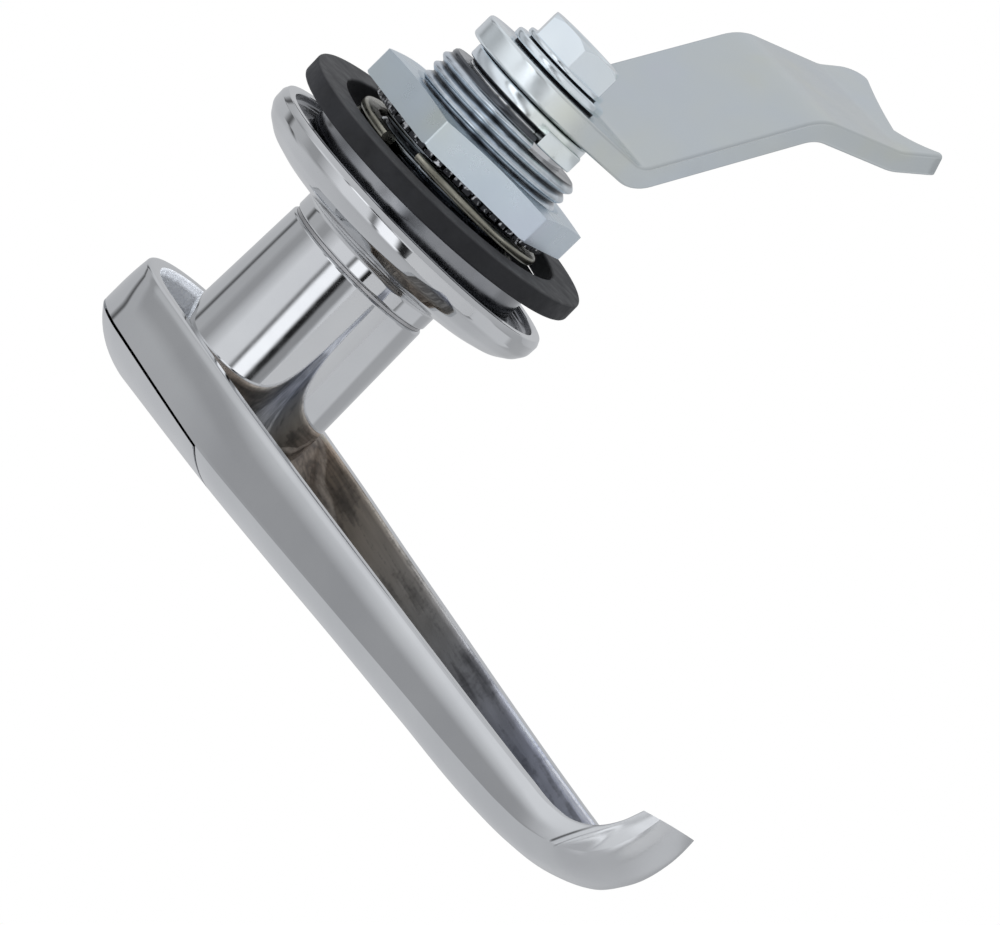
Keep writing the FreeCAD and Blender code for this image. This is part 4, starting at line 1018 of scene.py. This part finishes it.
def cam_faces():
    """The cam's lower and upper face inside its rounded edge, as lines from the round end to the far end."""
    path = cam_path()
    steps = np.hypot(np.diff(path[:, 0]), np.diff(path[:, 1]))
    place = np.concatenate([[0], np.cumsum(steps)])
    upper_x = path[:, 0] + np.sin(path[:, 2]) * CAM_THICK

    def distance_at(x, reach=path[:, 0]):
        return float(np.interp(x, reach[::-1], place[::-1]))

    hub_limit, end_limit = distance_at(-11.2), distance_at(-39.8)
    clearance, spacing = 0.05, 1.2
    bends = [float(d) for d in place if hub_limit + clearance < d < end_limit - clearance]
    fixed = [hub_limit] + bends + [end_limit]
    fine = []
    for first, second in zip(fixed, fixed[1:]):
        count = max(1, int((second - first) / spacing))
        fine += [first + (second - first) * k / count for k in range(count)]
    columns, hub_steps, end_steps = 61, 22, 16
    half = CAM_HALF - CAM_EDGE
    lower, upper = [], []
    for j in range(columns):
        y = half * math.sin(math.pi * (j / (columns - 1) - 0.5))
        start = distance_at(math.sqrt(max(half ** 2 - y ** 2, 0)))
        finish = distance_at(cam_end(y), upper_x)
        line = [start + (hub_limit - start) * k / hub_steps for k in range(hub_steps)] + fine
        line += [end_limit + (finish - end_limit) * k / end_steps for k in range(end_steps + 1)]
        low_row, high_row = [], []
        for distance in line:
            x, along, slope = [float(np.interp(distance, place, path[:, k])) for k in range(3)]
            low_row.append((x, y, CAM_LOW + along))
            high = CAM_LOW + along + math.cos(slope) * CAM_THICK
            high_row.append((x + math.sin(slope) * CAM_THICK, y, high))
        lower.append(low_row)
        upper.append(high_row)
    return lower, upper


def edge_band(low_loop, high_loop):
    """Sections of the rounded edge between the outlines of two faces."""
    quarter = [math.pi / 2 * step / 5 for step in range(6)]
    count = len(low_loop)
    band = []
    for index in range(count):
        low, high = low_loop[index], high_loop[index]
        up = (high - low) / np.linalg.norm(high - low)
        before = low - low_loop[index - 1]
        after = low_loop[(index + 1) % count] - low
        out = np.cross(up, before / np.linalg.norm(before) + after / np.linalg.norm(after))
        out = out / np.linalg.norm(out)
        line = []
        for angle in quarter:
            line.append(low + out * CAM_EDGE * math.sin(angle) + up * CAM_EDGE * (1 - math.cos(angle)))
        for angle in quarter:
            line.append(high + out * CAM_EDGE * math.cos(angle) - up * CAM_EDGE * (1 - math.sin(angle)))
        band.append(line)
    return band


def make_cam():
    """Cranked sheet with rounded edges and a square hole."""
    lower, upper = cam_faces()
    shape = Shape()
    shape.grid(lower)
    shape.grid(upper)
    columns, rows = len(lower), len(lower[0])
    loop = [(0, i) for i in range(rows)] + [(j, rows - 1) for j in range(1, columns)]
    loop += [(columns - 1, i) for i in range(rows - 2, -1, -1)] + [(j, 0) for j in range(columns - 2, 0, -1)]
    low_loop = np.array([lower[j][i] for j, i in loop])
    high_loop = np.array([upper[j][i] for j, i in loop])
    shape.grid(edge_band(low_loop, high_loop), close_rows=True)
    cam = make_mesh("cam_sheet", shape, 0.004)
    carve(cam, block("cam_hole", (-4.05, 4.05), (-4.05, 4.05), 18, 24))
    finish_piece(cam, CAM_ZINC, "cam", "handle", 40)


def make_cam_washer():
    """Washer with painted shade in the gap below its rim."""
    bore, step_in = 3.05, 6.2
    edge = fillet([(step_in, 22.76), (6.9, 22.76), (6.9, 23.8), (bore, 23.8)], [0, 0.15, 0.35, 0], 4)
    profile = [(bore, 22.42), (step_in, 22.42)] + edge
    washer = lathe("cam_washer_plate", profile, 128, second_columns=(1,))
    finish_piece(washer, BRIGHT_ZINC, "cam_washer", "handle", 35, GAP_SHADE)


def make_cam_bolt():
    """Hexagon bolt with a thin flange and a dished head."""
    base = 23.84
    edge = [(5.3, base + 0.22), (5.9, base + 0.22), (5.9, base + 0.85), (0, base + 1.0)]
    stem = [(0, base - 13.5), (2.5, base - 13.5), (3.0, base - 13), (3.0, base), (5.3, base)]
    profile = stem + fillet(edge, [0, 0.1, 0.25, 0], 4)
    # The face under the flange's rim takes painted shade.
    shank = lathe("bolt_shank", profile, 128, closed=False, second_columns=(len(stem) - 1,))
    top = [
        (0, base + 0.5),
        (6.0, base + 0.5),
        (6.0, base + 3.3),
        (5.1, base + 4.1),
        (3.9, base + 4.1),
        (3.2, base + 3.1),
        (0, base + 2.9),
    ]
    head = lathe("bolt_head", fillet(top, [0, 0, 0.5, 0.4, 0.3, 0.9, 0]), 192, closed=False)
    across_flats, turn = 10.0, -12.0
    carve(head, extrude("bolt_hexagon", hexagon(across_flats, turn), base - 2, base + 8), "INTERSECT")
    finish_piece(join([shank, head], "bolt_body"), BRIGHT_ZINC, "cam_bolt", "handle", 25, GAP_SHADE)


make_handle()
make_cover()
make_flange()
make_barrel()
make_gasket()
make_spring_ring()
make_nut()
make_stop_washer()
make_cam()
make_cam_washer()
make_cam_bolt()


# Floor, light and camera

# Soft boxes and dark cards around the lock axis: first and last angle from +X towards +Z, and level
PANELS = [
    (-180, -158, 0.45),
    (-152, -110, 0.66),
    (-106, -84, 0.30),
    (-80, -61, 0.80),
    (-57, -49, 0.34),
    (-46, -40, 0.02),
    (-36, -22, 1.30),
    (-18, -16, 0.22),
    (-12, 14, 0.84),
    (25, 26, 0.64),
    (38, 47, 0.39),
    (57, 72, 0.50),
    (76, 78, 0.12),
    (86, 150, 0.57),
    (180, 180, 0.45),
]
WORLD_TINT = (0.985, 1.0, 1.03)
PICTURE_WIDTH, PICTURE_HEIGHT = 1000, 925
SENSOR_WIDTH = 36


def make_floor():
    mesh = bpy.data.meshes.new("floor")
    low, side = -0.9, 0.5
    corners = [(-side, -side, low), (side, -side, low), (side, side, low), (-side, side, low)]
    mesh.from_pydata(corners, [], [(0, 1, 2, 3)])
    floor = bpy.data.objects.new("floor", mesh)
    bpy.context.scene.collection.objects.link(floor)
    look = Look("pale_floor")
    look.set("Base Color", (0.86, 0.86, 0.86, 1))
    look.set("Roughness", 0.9)
    mesh.materials.append(look.material)


def make_lamp(name, place, size, power, target=(0.0, 0.0, -0.03)):
    lamp = bpy.data.lights.new(name, "AREA")
    lamp.shape = "RECTANGLE"
    lamp.size, lamp.size_y = size
    lamp.energy = power
    thing = bpy.data.objects.new(name, lamp)
    thing.visible_glossy = False
    thing.location = place
    thing.rotation_euler = (Vector(target) - Vector(place)).to_track_quat("-Z", "Y").to_euler()
    bpy.context.scene.collection.objects.link(thing)


def make_world():
    """Panels around the lock axis, plainer light from the front and the back, and white behind the lock."""
    world = bpy.data.worlds.new("studio")
    bpy.context.scene.world = world
    world.use_nodes = True
    tree = Tree(world.node_tree)
    x, y, z = tree.split(tree.add("ShaderNodeTexCoord").outputs["Generated"])
    shift = tree.levels(y, 0.28, -0.28, -0.25, 0.02, smooth=True)
    around = tree.math("ADD", tree.math("ARCTAN2", z, x), shift)
    stops = []
    for first, last, level in PANELS:
        stops += [((angle + 180) / 360, (level, level, level)) for angle in sorted({first, last})]
    panels = tree.ramp(tree.levels(around, 0, 1, -math.pi, math.pi), stops)
    front = tree.levels(y, 1, 0, -0.62, -0.28, smooth=True)
    back = tree.levels(y, 0, 1, 0.25, 0.6, smooth=True)
    front_level = tree.levels(z, 0.50, 0.66, -1.0, 1.0)
    back_level = tree.levels(z, 0.50, 0.72, -1.0, 1.0)
    level = tree.between(back, tree.between(front, panels, front_level), back_level)
    colour = tree.add("ShaderNodeCombineColor")
    for part, tint in zip(colour.inputs, WORLD_TINT):
        tree.link(tree.product(level, tint), part)
    background = world.node_tree.nodes["Background"]
    tree.link(colour.outputs[0], background.inputs["Color"])
    tree.link(1.0, background.inputs["Strength"])
    white = tree.add("ShaderNodeBackground")
    tree.link((1, 1, 1, 1), white.inputs["Color"])
    mix = tree.add("ShaderNodeMixShader")
    tree.link(tree.add("ShaderNodeLightPath").outputs["Is Camera Ray"], mix.inputs[0])
    tree.link(background.outputs[0], mix.inputs[1])
    tree.link(white.outputs[0], mix.inputs[2])
    tree.link(mix.outputs[0], world.node_tree.nodes["World Output"].inputs["Surface"])


def make_camera():
    """The photograph's camera: below the lock to the right, aimed so that the origin falls on its pixel."""
    turn, tilt, roll = math.radians(45), math.radians(6.7), math.radians(44.37)
    distance, focal = 0.4, 3448.0
    origin_pixel = (415.5, 213.4)
    away = np.array([math.cos(tilt) * math.cos(turn), math.sin(tilt), -math.cos(tilt) * math.sin(turn)])
    down = np.array([-math.sin(turn), 0, -math.cos(turn)])
    right = np.cross(down, -away)
    if right[1] < 0:
        right = -right
    c, s = math.cos(roll), math.sin(roll)
    rolled = np.array([[c, s, 0], [-s, c, 0], [0, 0, 1]]) @ np.array([right, down, -away])
    pixel_x, pixel_y = origin_pixel[0] - PICTURE_WIDTH / 2, origin_pixel[1] - PICTURE_HEIGHT / 2
    ray = Vector((pixel_x / focal, pixel_y / focal, 1)).normalized()
    axes = np.array(Vector((0, 0, 1)).rotation_difference(ray).to_matrix()) @ rolled
    camera = bpy.data.cameras.new("camera")
    camera.sensor_width = SENSOR_WIDTH
    camera.lens = focal * SENSOR_WIDTH / PICTURE_WIDTH
    camera.clip_start, camera.clip_end = 0.01, 20
    pose = Matrix.Identity(4)
    for k in range(3):
        pose[k][0], pose[k][1], pose[k][2] = axes[0][k], -axes[1][k], -axes[2][k]
        pose[k][3] = away[k] * distance
    thing = bpy.data.objects.new("camera", camera)
    thing.matrix_world = pose
    bpy.context.scene.collection.objects.link(thing)
    bpy.context.scene.camera = thing


make_floor()
make_world()
make_lamp("key", (0.55, 0.35, 0.75), (0.7, 0.7), 4)
make_lamp("fill", (0.4, -0.9, 0.2), (0.8, 0.8), 4)
make_camera()
bpy.context.scene.view_settings.view_transform = "Standard"
